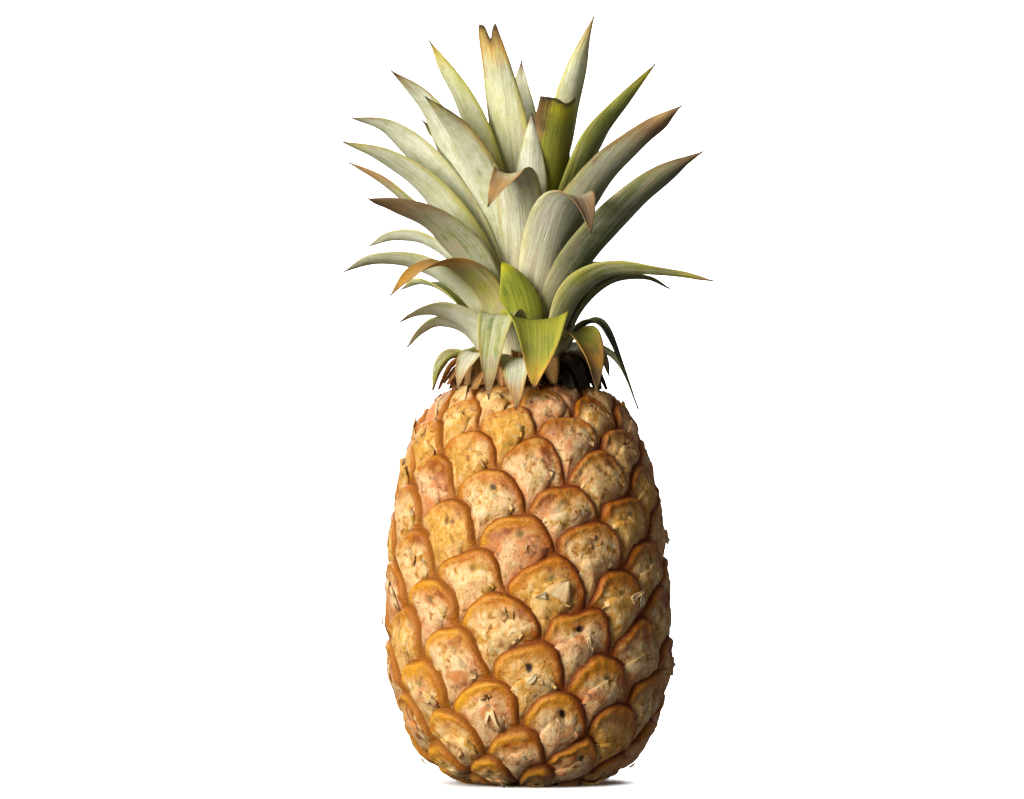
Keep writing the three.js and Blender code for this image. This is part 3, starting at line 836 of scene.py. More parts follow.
HEART_LEAVES = [
    plan("heart_leaf_split", -32, 13, [[6, 208], [11, 240], [18, 272], [28, 303]],
         blunt=0.3, notch=0.06, dry=0.4, gold=0.9, bloom=0.7, fresh=0.35),
    plan("heart_leaf_young", -80, 4.5, [[3, 215], [4, 230], [5, 246], [8, 260]], bloom=0.3),
    plan("heart_leaf_back", 184, 9.5, [[6, 214], [8, 244], [11, 270], [15, 291]], gold=0.5, bloom=1.5),
    plan("heart_leaf_cut_short", 40, 12.5, [[7, 204], [14, 231], [20, 255], [25, 274]],
         blunt=0.85, notch=0.03, dry=-0.7, gold=1, bloom=-0.2, fresh=0.6, shade=0.3, scorch=-1),
    plan("heart_leaf_tall", 64, 11, [[7, 204], [12, 232], [17, 258], [23, 284], [31, 307]],
         roll=-40, dry=0.3, gold=0.6, bloom=0.8, fresh=0.3, scorch=-0.5),
    plan("heart_leaf_narrow", 8, 9, [[7, 202], [15, 228], [20, 250], [22, 268]], bloom=1.1),
    plan("heart_leaf_left", -64, 11, [[7, 204], [16, 242], [27, 272], [42, 297]],
         roll=25, gold=1, bloom=0.7, fresh=0.5),
]
LEFT_LEAVES = [
    plan("left_leaf_01", -38, 12, [[9, 198], [22, 232], [42, 258], [63, 273]],
         roll=10, dry=0.2, gold=0.8, bloom=0.78, fresh=0.4, scorch=0.8),
    plan("left_leaf_02", -54, 12.5, [[9, 196], [20, 226], [33, 249], [49, 271], [65, 284]],
         roll=25, dry=0.35, gold=0.3, bloom=0.95, fresh=0.2),
    plan("left_leaf_03", -70, 11.5, [[10, 194], [22, 220], [40, 246], [57, 261], [73, 266]],
         roll=40, dry=0.2, bloom=0.9),
    plan("left_leaf_04", -64, 12, [[11, 188], [24, 213], [42, 236], [61, 249], [80, 256]],
         roll=35, dry=0.05, gold=0.8, bloom=0.85, fresh=0.4),
    plan("left_leaf_05", -104, 9, [[11, 188], [26, 210], [42, 227], [58, 241], [73, 250]],
         roll=40, dry=0.9, gold=0.4, bloom=0.5, fresh=0.2, shade=0.2),
    plan("left_leaf_06", -52, 12.5, [[12, 182], [28, 208], [44, 222], [62, 229], [78, 233]],
         roll=30, dry=1.15, gold=0.1, bloom=0.65, shade=0.25, scorch=0.6),
    plan("left_leaf_07", -98, 9.5, [[12, 184], [26, 206], [40, 217], [53, 219], [63, 216]],
         roll=35, bloom=0.9),
    plan("left_leaf_08", -76, 10, [[13, 178], [26, 196], [44, 207], [62, 209], [74, 205]],
         roll=30, dry=0.2, bloom=0.7),
    plan("left_leaf_09", -50, 12, [[14, 176], [23, 197], [38, 207], [54, 205], [69, 195]],
         dry=1.7, gold=1, bloom=0.3, fresh=0.35),
    plan("left_leaf_10", -66, 12, [[15, 170], [24, 182], [36, 188], [46, 188], [54, 185]], roll=25, bloom=1),
    plan("left_leaf_11", -92, 9.5, [[15, 170], [24, 181], [34, 184], [41, 181], [47, 175]], roll=20, bloom=1),
    plan("left_leaf_12", -66, 6.5, [[17, 162], [23, 170], [31, 171], [37, 166], [40, 158]],
         bloom=0.4, fresh=0.2, shade=0.1),
]
print(len(HEART_LEAVES), "leaves in the heart and", len(LEFT_LEAVES), "on the left")

# %% Leaves on the right and in front
RIGHT_LEAVES = [
    plan("right_leaf_01", 76, 10.5, [[9, 200], [18, 230], [29, 256], [41, 272], [54, 288]],
         roll=-35, gold=0.3, bloom=0.5, fresh=0.45, shade=0.45),
    plan("right_leaf_02", 56, 14, [[10, 194], [23, 222], [39, 243], [57, 258], [75, 270]],
         roll=-25, dry=0.95, gold=0.3, bloom=0.7, shade=0.2, scorch=-0.7),
    plan("right_leaf_03", 62, 15, [[12, 186], [26, 207], [43, 226], [61, 241], [80, 252]],
         roll=-25, dry=0.6, gold=0.1, bloom=0.7, shade=0.62),
    plan("right_leaf_04", 68, 13, [[14, 177], [23, 195], [37, 204], [59, 204], [81, 201]],
         roll=-20, dry=0.3, gold=0.6, bloom=0.6, fresh=0.4, shade=0.35),
    plan("right_leaf_05", 72, 5, [[16, 172], [24, 183], [32, 184], [40, 170], [48, 150]],
         dry=0.3, gold=0, bloom=0, shade=1.3),
    plan("right_leaf_06", 100, 9, [[9, 198], [18, 228], [24, 250], [30, 262]],
         roll=-20, bloom=0.2, shade=0.5),
    plan("right_leaf_07", 122, 10.5, [[12, 182], [20, 208], [30, 230], [44, 250]], shade=0.3),
    plan("right_leaf_08", 110, 9.5, [[15, 172], [24, 190], [37, 201], [52, 203], [63, 199]],
         bloom=0.2, shade=0.9),
]
FRONT_LEAVES = [
    plan("front_leaf_01", -2, 11, [[9, 197], [18, 219], [27, 238], [33, 243], [38, 239], [41, 230]],
         sweep=-13, dry=1.1, gold=0.4, bloom=0.9, fresh=0.25),
    plan("front_leaf_02", 26, 13.5, [[12, 188], [22, 212], [34, 229], [43, 234], [50, 231], [56, 219]],
         sweep=2, dry=1.1, gold=0.3, bloom=1.1),
    plan("front_leaf_03", 0, 10, [[13, 178], [18, 190], [23, 200], [27, 209]],
         sweep=-9, dry=-0.2, gold=0.3, bloom=0.2, fresh=0.65, shade=0.12),
    plan("front_leaf_04", 9, 16, [[15, 172], [22, 182], [31, 185], [39, 181], [43, 170], [44, 158]],
         sweep=-3, dry=0.45, gold=1, bloom=0.2, fresh=0.55, scorch=-0.3),
    plan("front_leaf_05", 38, 12.5, [[16, 167], [23, 177], [34, 180], [43, 171], [47, 157]],
         dry=1.1, gold=1, bloom=0.35, fresh=0.45),
    plan("front_leaf_06", -19, 10.5, [[17, 163], [21, 179], [28, 187], [36, 183], [41, 168], [43, 154]],
         dry=0.6, gold=0.3, bloom=0.8, fresh=0.3),
    plan("front_leaf_07", -4, 9, [[18, 161], [24, 169], [33, 169], [41, 161], [45, 150]],
         dry=0.8, gold=0.6, bloom=1),
    plan("front_leaf_08", -40, 8, [[17, 162], [22, 169], [30, 172], [37, 167], [41, 158]],
         dry=0.7, bloom=1.1),
]
print(len(RIGHT_LEAVES), "leaves on the right and", len(FRONT_LEAVES), "in front")

# %% Leaves in rings behind
REAR_RINGS = [
    # name, how many, first direction, step to the next, half width, midrib
    ["rear_collar_leaf", 6, 84, 32, 8, [[17, 162], [23, 172], [32, 173], [38, 168], [42, 160]]],
    ["rear_lower_leaf", 5, 136, 24, 10, [[15, 171], [25, 188], [40, 200], [54, 205], [66, 204]]],
    ["rear_middle_leaf", 5, 148, 22, 10.5, [[12, 182], [24, 206], [40, 221], [57, 229], [72, 231]]],
    ["rear_upper_leaf", 4, 140, 28, 11, [[10, 193], [20, 222], [34, 245], [50, 260], [64, 270]]],
    ["rear_heart_leaf", 3, 140, 42, 10, [[8, 201], [15, 236], [24, 262], [36, 284]]],
]
RING_SPREAD = 5
RING_TURN = 4


def rear_leaves():
    """Each ring's leaves stray from the ring's midrib by a steady wobble, so no two are alike."""
    for ring, (name, count, first, step, half, midrib) in enumerate(REAR_RINGS):
        for i in range(count):
            wobble = math.sin(2.4 * i + 1.7 * ring)
            stray = RING_SPREAD * wobble * np.linspace(0, 1, len(midrib))
            curve = np.array(midrib) + np.stack([-stray, stray], 1)
            azimuth = first + step * i + RING_TURN * wobble
            sweep = RING_SPREAD * math.cos(1.9 * i + ring)
            yield plan(f"{name}_{i + 1}", azimuth, half * (1 + 0.1 * wobble), curve,
                       sweep=sweep, dry=0.2 + 0.2 * wobble, bloom=0.6 + 0.3 * wobble)


ALL_LEAVES = [*HEART_LEAVES, *LEFT_LEAVES, *RIGHT_LEAVES, *FRONT_LEAVES, *rear_leaves()]
print("the crown has", len(ALL_LEAVES), "leaves")

# %% The shape of a leaf
LEAF_ROWS = 60
LEAF_COLUMNS = 17
ROW_CROWDING = 0.9
LEAF_THICKNESS = 1.7
MARGIN_THICKNESS = 0.35
TIP_THINNING = 0.6
LEAF_FOOT_WIDTH = 0.6
LEAF_WIDEST_AT = 0.4
LEAF_TAPER = 2.2
CHANNEL_ANGLE = math.radians(75)
TIP_HALF_WIDTH = 0.3
MARGIN_WAVE, WAVE_LENGTHS = 0.35, (3.5, 5.5)
MARGIN_DRIFT, DRIFT_LENGTHS = 0.8, (9, 14)
NOTCH_AT = 0.15
NOTCH_WIDTH = 0.35


def smooth_curve(points, share):
    """Places and directions on a smooth curve through the points. Between two points it is the cubic whose
    slope at each end is half the step from the point before to the point after."""
    knots = np.array(points, float)
    knots = np.vstack([2 * knots[0] - knots[1], knots, 2 * knots[-1] - knots[-2]])
    place = share * (len(points) - 1)
    span = np.minimum(place.astype(int), len(points) - 2)
    w = (place - span)[:, None]
    before, start, end, after = (knots[span + k] for k in range(4))
    leave, arrive = (end - before) / 2, (after - start) / 2
    point = (2 * w**3 - 3 * w**2 + 1) * start + (w**3 - 2 * w**2 + w) * leave
    point = point + (3 * w**2 - 2 * w**3) * end + (w**3 - w**2) * arrive
    slope = (6 * w**2 - 6 * w) * (start - end) + (3 * w**2 - 4 * w + 1) * leave + (3 * w**2 - 2 * w) * arrive
    return point, unit(slope)


def turned(vectors, axis, angle):
    """Vectors square to the axis, turned about it: v cos(angle) + (axis x v) sin(angle)."""
    return vectors * np.cos(angle)[:, None] + np.cross(axis, vectors) * np.sin(angle)[:, None]


def leaf_surface(leaf, seed):
    """The leaf's middle surface and thickness, in millimetres, with X away from the crown's axis, and the
    marks that its finish reads. Across the midrib it is an arc. At the foot the arc is wrapped round the
    stem, and further out it always spans the same angle. Its half width opens like a sine, then tapers as
    1 - t^taper, and the margins ripple a little."""
    random = np.random.default_rng(seed)
    t = np.linspace(0, 1, LEAF_ROWS) ** ROW_CROWDING
    share = np.linspace(-1, 1, LEAF_COLUMNS)
    out, up = np.array(leaf["midrib"], float).T
    sweep = leaf["sweep"] * np.linspace(0, 1, len(out)) ** 2
    middle, along = smooth_curve(np.stack([out, sweep, up], 1), t)
    side = unit(np.array([0, 1, 0]) - along[:, 1:2] * along)
    side = turned(side, along, math.radians(leaf["roll"]) * t)
    face = np.cross(side, along)

    opening = np.minimum(1, t / LEAF_WIDEST_AT)
    width = LEAF_FOOT_WIDTH + (1 - LEAF_FOOT_WIDTH) * np.sin(math.pi / 2 * opening)
    half = leaf["half"] * width * (1 - (1 - leaf["blunt"]) * t**LEAF_TAPER)
    half = np.maximum(half, TIP_HALF_WIDTH)
    bend = (1 - opening) / out[0] + opening * CHANNEL_ANGLE / (2 * half)
    angle = share * (half * bend)[:, None]
    cos, sin = np.cos(angle)[..., None], np.sin(angle)[..., None]
    side, face = side[:, None], face[:, None]
    surface = middle[:, None] + (sin * side + (cos - 1) * face) / bend[:, None, None]

    length = np.concatenate([[0], np.cumsum(np.linalg.norm(np.diff(middle, axis=0), axis=1))])[:, None]
    wave = np.sin(length / random.uniform(*WAVE_LENGTHS) + random.uniform(0, 6) + 1.5 * np.sign(share))
    drift = np.sin(length / random.uniform(*DRIFT_LENGTHS) + random.uniform(0, 6) + 2 * np.sign(share))
    calm = (np.minimum(1, 3 * t) * np.minimum(1, half / 4))[:, None]
    lift = (MARGIN_WAVE * wave + MARGIN_DRIFT * drift) * np.abs(share) ** 3 * calm
    surface = surface + lift[..., None] * (cos * face + sin * side)
    nick = leaf["notch"] * bell(share - NOTCH_AT, NOTCH_WIDTH) * length[-1] * t[:, None] ** 8
    surface = surface - nick[..., None] * along[:, None]
    thickness = LEAF_THICKNESS + (MARGIN_THICKNESS - LEAF_THICKNESS) * np.abs(share) ** 1.5
    thickness = thickness * (1 - TIP_THINNING * t)[:, None]
    marks = dict(along=t[:, None], length=length, across=share, across_mm=share * half[:, None])
    return surface, thickness, {name: np.broadcast_to(mark, angle.shape) for name, mark in marks.items()}


print("a leaf has", 2 * LEAF_ROWS * LEAF_COLUMNS, "points")

# %% A leaf in its place
CROWN_X = -2.8


def on_crown(points, azimuth):
    """Points of a leaf along X, in millimetres, turned about the crown's axis to the direction that the leaf
    leaves in, and moved to that axis. They come out in metres."""
    turn = math.radians(azimuth - 90)
    spin = np.array([[math.cos(turn), -math.sin(turn), 0], [math.sin(turn), math.cos(turn), 0], [0, 0, 1]])
    return (points @ spin.T + [CROWN_X, 0, 0]) * MM


def make_leaf(leaf, finish, seed):
    """The leaf's shell, with marks for its finish: where each point is on the blade, whether it is on the
    inner face, the leaf's moods and a random number."""
    surface, thickness, marks = leaf_surface(leaf, seed)
    points, faces = shell(surface, thickness)
    points = on_crown(points, leaf["azimuth"])
    piece = make_piece(leaf["name"] + "_blade", points, faces, finish, [leaf["name"]])
    for name, values in marks.items():
        give(piece, name, np.tile(values.reshape(-1), 2))
    give(piece, "inner", np.repeat([0, 1], LEAF_ROWS * LEAF_COLUMNS))
    for name in LEAF_MOODS:
        give(piece, name, np.full(len(points), leaf[name]))
    give(piece, "chance", np.full(len(points), np.random.default_rng(seed).uniform()))


print("the crown's axis is at x =", CROWN_X, "mm")

# %% [markdown]
# ## The finish of a leaf
# The outer face of a crown leaf is green under a coat of pale scales, which shows as a silvery bloom with
# long stripes where it has rubbed off. The inner face is darker and greener. The margins are yellow-green,
# the foot is nearly white, and the tip dries to brown and grey. The stripes follow the leaf because the noise
# reads millimetres across and along the blade, squeezed along it.

# %% Leaf finish
def leaf_finish():
    """Green, a coat of silver, painted shade, yellow margins and foot, then everything that has dried."""
    finish = Finish("pineapple_leaf", 0.6, 0.3)
    along, length, across, across_mm = finish.values("along", "length", "across", "across_mm")
    inner, chance = finish.values("inner", "chance")
    dry, gold, bloom, fresh, shade, scorch = finish.values(*LEAF_MOODS)
    own = chance * 60
    bands = finish.vector(across_mm * 0.45, length * 0.02, own).noise(1.0, 3)
    stripes = finish.vector(across_mm * 1.5, length * 0.035, own).noise(1.0, 4)
    threads = finish.vector(across_mm * 5, length * 0.05, own).noise(1.0, 3)
    place = finish.place()
    cloud = place.noise(60, 3)
    patch = place.noise(180, 4)
    grain = place.noise(600, 4)

    covered = inner * (1 - bloom * 0.6).at_least(0)
    green = finish.blend("#64742c", "#a3a848", stripes.rise(0.4, 0.62)).under(
        ("#c6b63c", gold * (cloud * 0.5 + bands * 0.6).rise(0.42, 0.66) * 0.95),
        ("#a5ae30", fresh * (bands * 0.6 + patch * 0.5 + fresh * 0.25).rise(0.5, 0.8)),
    )
    silver = finish.blend("#c9cda2", "#f6f7e2", (threads * 0.5 + patch * 0.5).rise(0.36, 0.6))
    # Where the silver coat is thin: rubbed off on the inner face and on fresh leaves, and under painted
    # shade.
    rubbed_and_shaded = covered * 0.5 + shade * 0.5 + fresh * 0.25
    coat = (bands * 0.8 + stripes * 0.6 + patch * 0.4 + bloom * 0.7 - rubbed_and_shaded).rise(0.83, 1.3)
    margin = (abs(across) + (cloud - 0.5) * 0.25).rise(0.66, 0.95)
    lively = (fresh * (cloud * 0.5 + stripes * 0.5 + fresh * 0.25).rise(0.5, 0.68)).at_most(1)
    scorched = (across * scorch + (patch - 0.5) * 0.6 + (stripes - 0.5) * 0.5 + along * 0.25).rise(0.6, 1.0)
    dried = along + (stripes - 0.5) * 0.3 + (patch - 0.5) * 0.2 + margin * 0.1 + dry * 0.32
    dried = dried.rise(0.9, 1.15)
    brown = finish.blend("#6d4a2b", "#b3966f", (threads * 0.6 + cloud * 0.4).rise(0.36, 0.62)).under(
        ("#cd9433", gold * cloud.rise(0.3, 0.5) * 0.9),
        ("#c9ad8c", (bloom * 0.6 + bands * 0.5).rise(0.6, 1.2) * 0.45),
        # Painted shade on the dried part too.
        ("#4c4122", (shade * 0.9).at_most(0.8)),
    )
    leaf = green.under(
        (silver, (coat * (0.34 + bloom * 0.6)).at_most(0.95)),
        ("#465523", (covered * 0.5 + shade * 0.4).at_most(0.75)),
        # Painted shade on leaves that stand in shadow.
        ("#2b2c20", (shade * 0.62).at_most(0.85)),
        ("#c3b845", margin * (0.3 + gold * 0.5) * (1 - shade * 0.6)),
        ("#b9bd3c", lively * (1 - shade * 0.7).at_least(0) * 0.6),
        ("#e0d424", (fresh * along.rise(0.78, 0.98) * 1.3).at_most(0.9)),
        ("#ece4b4", (1 - along.rise(0.02, 0.3)) * (0.7 - shade * 0.5)),
        (brown, dried * 0.95),
        (finish.blend("#6e4f2c", "#a98552", cloud.rise(0.4, 0.6)), scorched * 0.95),
        ("#5b4c2c", (along + (patch - 0.5) * 0.1 - fresh * 0.05).rise(0.88, 0.98) * 0.6),
        ("#3f3120", (along + (grain - 0.5) * 0.1).rise(0.965, 0.99) * 0.8),
        ("#a3835a", (bands * 0.6 + patch * 0.5 + dry * 0.1).rise(0.62, 0.74) * 0.4),
        ("#7d5c33", (grain * 0.6 + stripes * 0.5).rise(0.66, 0.78) * 0.45),
    )
    finish.feed("Base Color", leaf)
    finish.feed("Roughness", 0.5 + coat * 0.2 + dried * 0.15)
    finish.bump(threads * 0.6 + stripes * 0.6 + grain * 0.2, 0.6 * MM)
    return finish


LEAF_FINISH = leaf_finish()
for seed, leaf in enumerate(ALL_LEAVES):
    make_leaf(leaf, LEAF_FINISH, seed)
print(len(ALL_LEAVES), "leaves share one finish")

# %% [markdown]
# ## The stem of the crown
# The leaves hide it almost completely. It is turned on the lathe of a formula: a profile of radius and
# height, carried round the axis, with low scars where leaves have come off.

# %% Stem
STEM_PROFILE = [[0.1, 0], [15, 0], [12.75, 20.8], [6, 41.6], [4, 48.4], [0.1, 52]]
STEM_ROWS = 80
STEM_COLUMNS = 48
STEM_GAP = 0.3
SCAR_DEPTH = 0.25


def make_stem(finish):
    """The profile's radius at each height, plus scars: a sine of the height that sways round the axis."""
    corners = np.array(STEM_PROFILE)
    walk = np.concatenate([[0], np.cumsum(np.linalg.norm(np.diff(corners, axis=0), axis=1))])
    at = np.linspace(0, walk[-1], STEM_ROWS)
    r = np.interp(at, walk, corners[:, 0])[:, None]
    z = np.interp(at, walk, corners[:, 1])[:, None] + FRUIT_HEIGHT + STEM_GAP
    turn = np.linspace(0, 2 * math.pi, STEM_COLUMNS, endpoint=False)
    r = r + SCAR_DEPTH * np.sin(z * 2.2 + 3 * np.sin(2 * turn)) * np.minimum(1, r / 4)
    points = np.stack(np.broadcast_arrays(r * np.cos(turn) + CROWN_X, r * np.sin(turn), z), -1).reshape(-1, 3)
    last = (STEM_ROWS - 1) * STEM_COLUMNS + np.arange(STEM_COLUMNS)
    ends = [list(range(STEM_COLUMNS))[::-1], last.tolist()]
    faces = ring_faces(STEM_ROWS, STEM_COLUMNS).tolist() + ends
    make_piece("crown_stem_body", points * MM, faces, finish, ["crown_stem"])


def stem_finish():
    """Pale flesh with brown scars."""
    finish = Finish("crown_stem_skin", 0.65, 0.3)
    place = finish.place()
    cloud = place.noise(150, 4)
    grain = place.noise(700, 3)
    skin = finish.blend("#d9d3a0", "#a9a468", cloud.rise(0.4, 0.65))
    finish.feed("Base Color", skin.under(("#8a6c40", grain.rise(0.58, 0.7))))
    finish.bump(grain, 0.4 * MM)
    return finish


make_stem(stem_finish())
print("the stem is", max(height for _, height in STEM_PROFILE), "mm tall")

# %% [markdown]
# ## Dry bracts and sepals on the eyes
# Under every small fruit sat a leaf of its own, the bract. It has dried to paper: its foot lies in the point
# at the bottom of the eye, and its torn tip lies over the middle and lifts a little. On some eyes three small
# sepals close over the flower's cup. Each is a thin shell of a few dozen faces, laid on the skin by
# reading the height of the nearest place in the eye's grid.

# %% Laying a scrap on the skin
SHOWN_FROM_ENDS = 4
EYE_ALONG = SKIN_ALONG.mean((1, 2))
SHOWN_EYES = np.flatnonzero((EYE_ALONG > SHOWN_FROM_ENDS) & (EYE_ALONG < SIDE_LENGTH - SHOWN_FROM_ENDS))


def laid_shell(eye, uv, lift, thickness):
    """A shell over places in one eye, given by its place in EYES. It is lifted by so many millimetres off the
    skin, whose height is that of the nearest point in the eye's grid, and stays above the table."""
    near = np.argmin(np.linalg.norm(uv[..., None, :] - EYE_UV.reshape(-1, 2), axis=-1), -1)
    relief = SKIN_RELIEF[eye].reshape(-1)[near]
    plain, _ = on_skin(EYES[eye], uv, 0)
    middle, _ = on_skin(EYES[eye], uv + bent(plain), relief + lift)
    points, faces = shell(middle, thickness * MM)
    return points.clip([-1, -1, 0], 1), faces


print(len(SHOWN_EYES), "eyes carry bracts")

# %% Bracts
BRACT_ROWS = 7
BRACT_COLUMNS = 7
BRACT_THICKNESS = 0.2
BRACT_THINNING = 0.08
BRACT_FOOT = EYE_POINT + [0.2, 2.5]
BRACT_HALF = (8, 11)


def bract(eye, random):
    """A dry flap over the lower half of the eye, as wide as the eye. Each column of its grid ends at a height
    of its own, which makes the torn edge, and lifts there by its own amount."""
    t, share = strip(BRACT_ROWS, BRACT_COLUMNS)
    top = random.uniform(-3.5, 1) + random.uniform(-1.6, 1.6, BRACT_COLUMNS)
    top = top - random.uniform(2.5, 5) * share**2
    half = 1 + (random.uniform(*BRACT_HALF) - 1) * np.sin(math.pi / 2 * np.minimum(1, t / 0.9))
    u = BRACT_FOOT[0] + (CUP[0] + random.uniform(-2, 1) - BRACT_FOOT[0]) * t + share * half
    u = u + random.normal(0, 0.3, t.shape) * t
    v = BRACT_FOOT[1] + (top - BRACT_FOOT[1]) * t
    curl = random.uniform(0, 1) ** 4 * random.uniform(0.3, 2, BRACT_COLUMNS)
    lift = 0.1 + random.uniform(0.02, 0.2) * t**2 + (curl + random.uniform(0, 0.15, BRACT_COLUMNS)) * t**4
    hue = np.full(t.shape, EYE_CHANCES[eye, 1])
    return laid_shell(eye, np.stack([u, v], -1), lift, BRACT_THICKNESS - BRACT_THINNING * t), (u, v, hue)


def bract_finish():
    """The same dry colours as the shield that the bract lies on."""
    finish = Finish("dry_bract", 0.7, 0.3)
    u, v, hue = finish.values("eye_u", "eye_v", "hue")
    cloud, patch = skin_clouds(finish.place())
    paper, fibres = papery(finish, u, v, hue, cloud, patch)
    finish.feed("Base Color", paper.under((RED_GLAZE, 0.06)))
    finish.bump(fibres * 0.35 + patch * 0.9, 0.6 * MM)
    return finish


print("a bract is", 2 * BRACT_HALF[0], "to", 2 * BRACT_HALF[1], "mm wide")

# %% Sepals and scraps
SEPAL_ROWS = 4
SEPAL_COLUMNS = 3
SEPAL_THICKNESS = 0.2
FLAKE_ROWS = 6
FLAKE_COLUMNS = 5
FLAKE_THICKNESS = 0.22
FLAKE_LIFT = 0.75
SPIKE_ROOT = 1


def sepal(eye, random, turn):
    """A small triangle that leans in from the rim of the cup towards its middle."""
    t, share = strip(SEPAL_ROWS, SEPAL_COLUMNS)
    inwards = np.array([-math.cos(turn), -math.sin(turn)])
    across = np.array([math.sin(turn), -math.cos(turn)])
    reach = random.uniform(1.6, 2.8)
    way = CUP - random.uniform(2.2, 2.9) * inwards + t[..., None] * reach * inwards
    width = random.uniform(0.9, 1.5) * (1.05 - t)
    uv = way + (share * width)[..., None] * across
    lift = 0.1 + random.uniform(0.2, 0.7) * np.sin(t * 2.2)
    return laid_shell(eye, uv, lift, np.full(t.shape, SEPAL_THICKNESS)), (t, share)


def flake(eye, right, up, direction, length, half, stand, rooted=False):
    """A scrap of bract: a narrow curled triangle. Its lift grows with the square of the way to its tip, and a
    rooted one is a spike that is solid all the way down into the skin."""
    t, share = strip(FLAKE_ROWS, FLAKE_COLUMNS)
    turn = math.radians(direction)
    forwards = np.array([math.cos(turn), math.sin(turn)])
    aside = np.array([-math.sin(turn), math.cos(turn)])
    way = np.array([right, up]) + t[..., None] * length * forwards
    uv = way + (share * half * (1 - 0.9 * t**1.4))[..., None] * aside
    lift = FLAKE_LIFT + stand * t**2 + 0.35 * share**2
    if rooted:
        return laid_shell(eye, uv, (lift - SPIKE_ROOT) / 2, lift + SPIKE_ROOT), (t, share)
    return laid_shell(eye, uv, lift, np.full(t.shape, FLAKE_THICKNESS)), (t, share)


def gather(name, parts, finish, marks=("along", "across")):
    """Many small shells as one piece, with their own marks and one random number each."""
    shells = [part[0] for part in parts]
    counts = np.cumsum([0] + [len(points) for points, _ in shells])
    faces = np.concatenate([f + first for (_, f), first in zip(shells, counts)])
    piece = make_piece(name, np.concatenate([p for p, _ in shells]), faces, finish)
    for i, mark in enumerate(marks):
        give(piece, mark, np.concatenate([np.tile(part[1][i].reshape(-1), 2) for part in parts]))
    chances = np.random.default_rng(len(parts)).uniform(0, 1, len(parts))
    give(piece, "chance", np.repeat(chances, np.diff(counts)))
    print(name, "holds", len(parts), "shells of", len(shells[0][1]), "faces")


def paper_finish(name, pale, tan, dark):
    """Dried leaf: streaks along the blade, dark towards the tip and at the torn margins."""
    finish = Finish(name, 0.75, 0.25)
    along, across, chance = finish.values("along", "across", "chance")
    streaks = finish.vector(across * 2.2, along * 0.5, chance * 90).noise(1.0, 4, 0.65, 0.4)
    grain = finish.place().noise(700, 3)
    paper = finish.blend(tan, pale, (streaks + (chance - 0.5) * 0.3).rise(0.38, 0.6)).under(
        (dark, (along * 0.5 + abs(across) * 0.25 + grain * 0.5).rise(0.72, 1.0) * 0.8),
        (dark, (chance - streaks * 0.4).rise(0.55, 0.75) * 0.5),
    )
    finish.feed("Base Color", paper)
    finish.bump(streaks + grain * 0.4, 0.3 * MM)
    return finish


print("a scrap has", 2 * FLAKE_ROWS * FLAKE_COLUMNS, "points, and a sepal", 2 * SEPAL_ROWS * SEPAL_COLUMNS)

# %% All scraps in place
SCRAP_SEED = 31
SEPALLED_SHARE = 0.3
SEPAL_TURNS = np.array([0, 2.1, 4.2])
FLAKED_SHARE = 0.3
PLACED_FLAKES = [
    # eye, foot right and up, direction in degrees, length, half width, how far the tip stands out
    [13, 1.6, -5.0, 72, 6.0, 4.6, 1.2],
    [13, -1.5, -4.6, 190, 5.0, 1.2, 0.8],
    [18, 2.6, -1.5, 32, 7.0, 1.5, 1.8],
    [18, 9.0, -4.4, 115, 6.0, 1.3, 1.8],
    [34, -3.0, -4.0, 30, 5.0, 1.4, 0.8],
    [42, 0.6, -3.0, -62, 7.5, 1.1, 0.8],
    [42, -0.6, -3.4, -110, 5.0, 0.8, 0.8],
    [26, 0.6, -3.4, -80, 5.5, 1.1, 0.8],
]
PLACED_SPIKES = [
    [2, 3.0, -2.0, -10, 6.5, 3.0, 1.5],
    [36, 2.0, -1.0, 0, 7.0, 3.2, 1.6],
    [49, 4.0, -2.0, -20, 6.5, 3.0, 1.6],
    [19, -3.0, -2.0, 190, 6.5, 3.0, 1.4],
]


def some_eyes(share, random):
    """A random share of the eyes that show."""
    return SHOWN_EYES[random.uniform(0, 1, len(SHOWN_EYES)) < share]


def scattered_flakes(random):
    """Scraps on a share of all eyes, low on the shield and mostly pointing down or aside."""
    for eye in some_eyes(FLAKED_SHARE, random):
        right, up, direction = random.uniform(-4, 4), random.uniform(-7, -1), random.uniform(-170, -10)
        length, half, stand = random.uniform(2.5, 4.5), random.uniform(0.6, 1.4), random.uniform(0.2, 1)
        yield flake(eye, right, up, direction, length, half, stand)


def make_bracts():
    """A bract on every eye that shows, three sepals on some, and scraps from lists and at random."""
    random = np.random.default_rng(SCRAP_SEED)
    bracts = [bract(eye, random) for eye in SHOWN_EYES]
    gather("eye_bracts", bracts, bract_finish(), ("eye_u", "eye_v", "hue"))
    sepals = [sepal(eye, random, turn) for eye in some_eyes(SEPALLED_SHARE, random)
              for turn in random.uniform(0, 2) + SEPAL_TURNS]
    curled = [flake(number - FIRST_EYE, *place) for number, *place in PLACED_FLAKES]
    small = [flake(number - FIRST_EYE, *place, rooted=True) for number, *place in PLACED_SPIKES]
    small += scattered_flakes(random)
    gather("curled_flakes", curled, paper_finish("pale_flake", "#f4e3b8", "#d3a869", "#7d5530"))
    gather("small_flakes", small, paper_finish("tan_flake", "#dcb880", "#b0783c", "#5c3819"))
    gather("eye_sepals", sepals, paper_finish("dry_sepal", "#cfa26a", "#a8713a", "#6b3f1c"))


make_bracts()

# %% [markdown]
# ## Collar bracts, base bracts and the cut stalk
# Where crown and fruit meet, the last small leaves have dried brown and lie on the shoulder. They are made as
# crown leaves are, only shorter. Underneath, the fruit was cut off its stalk: the round cut face sits in a
# shallow hollow, with old bracts pressed flat round it.

# %% Collar and base bracts
COLLAR_SEED = 12
COLLAR_COUNT = 44
COLLAR_THINNING = 0.5
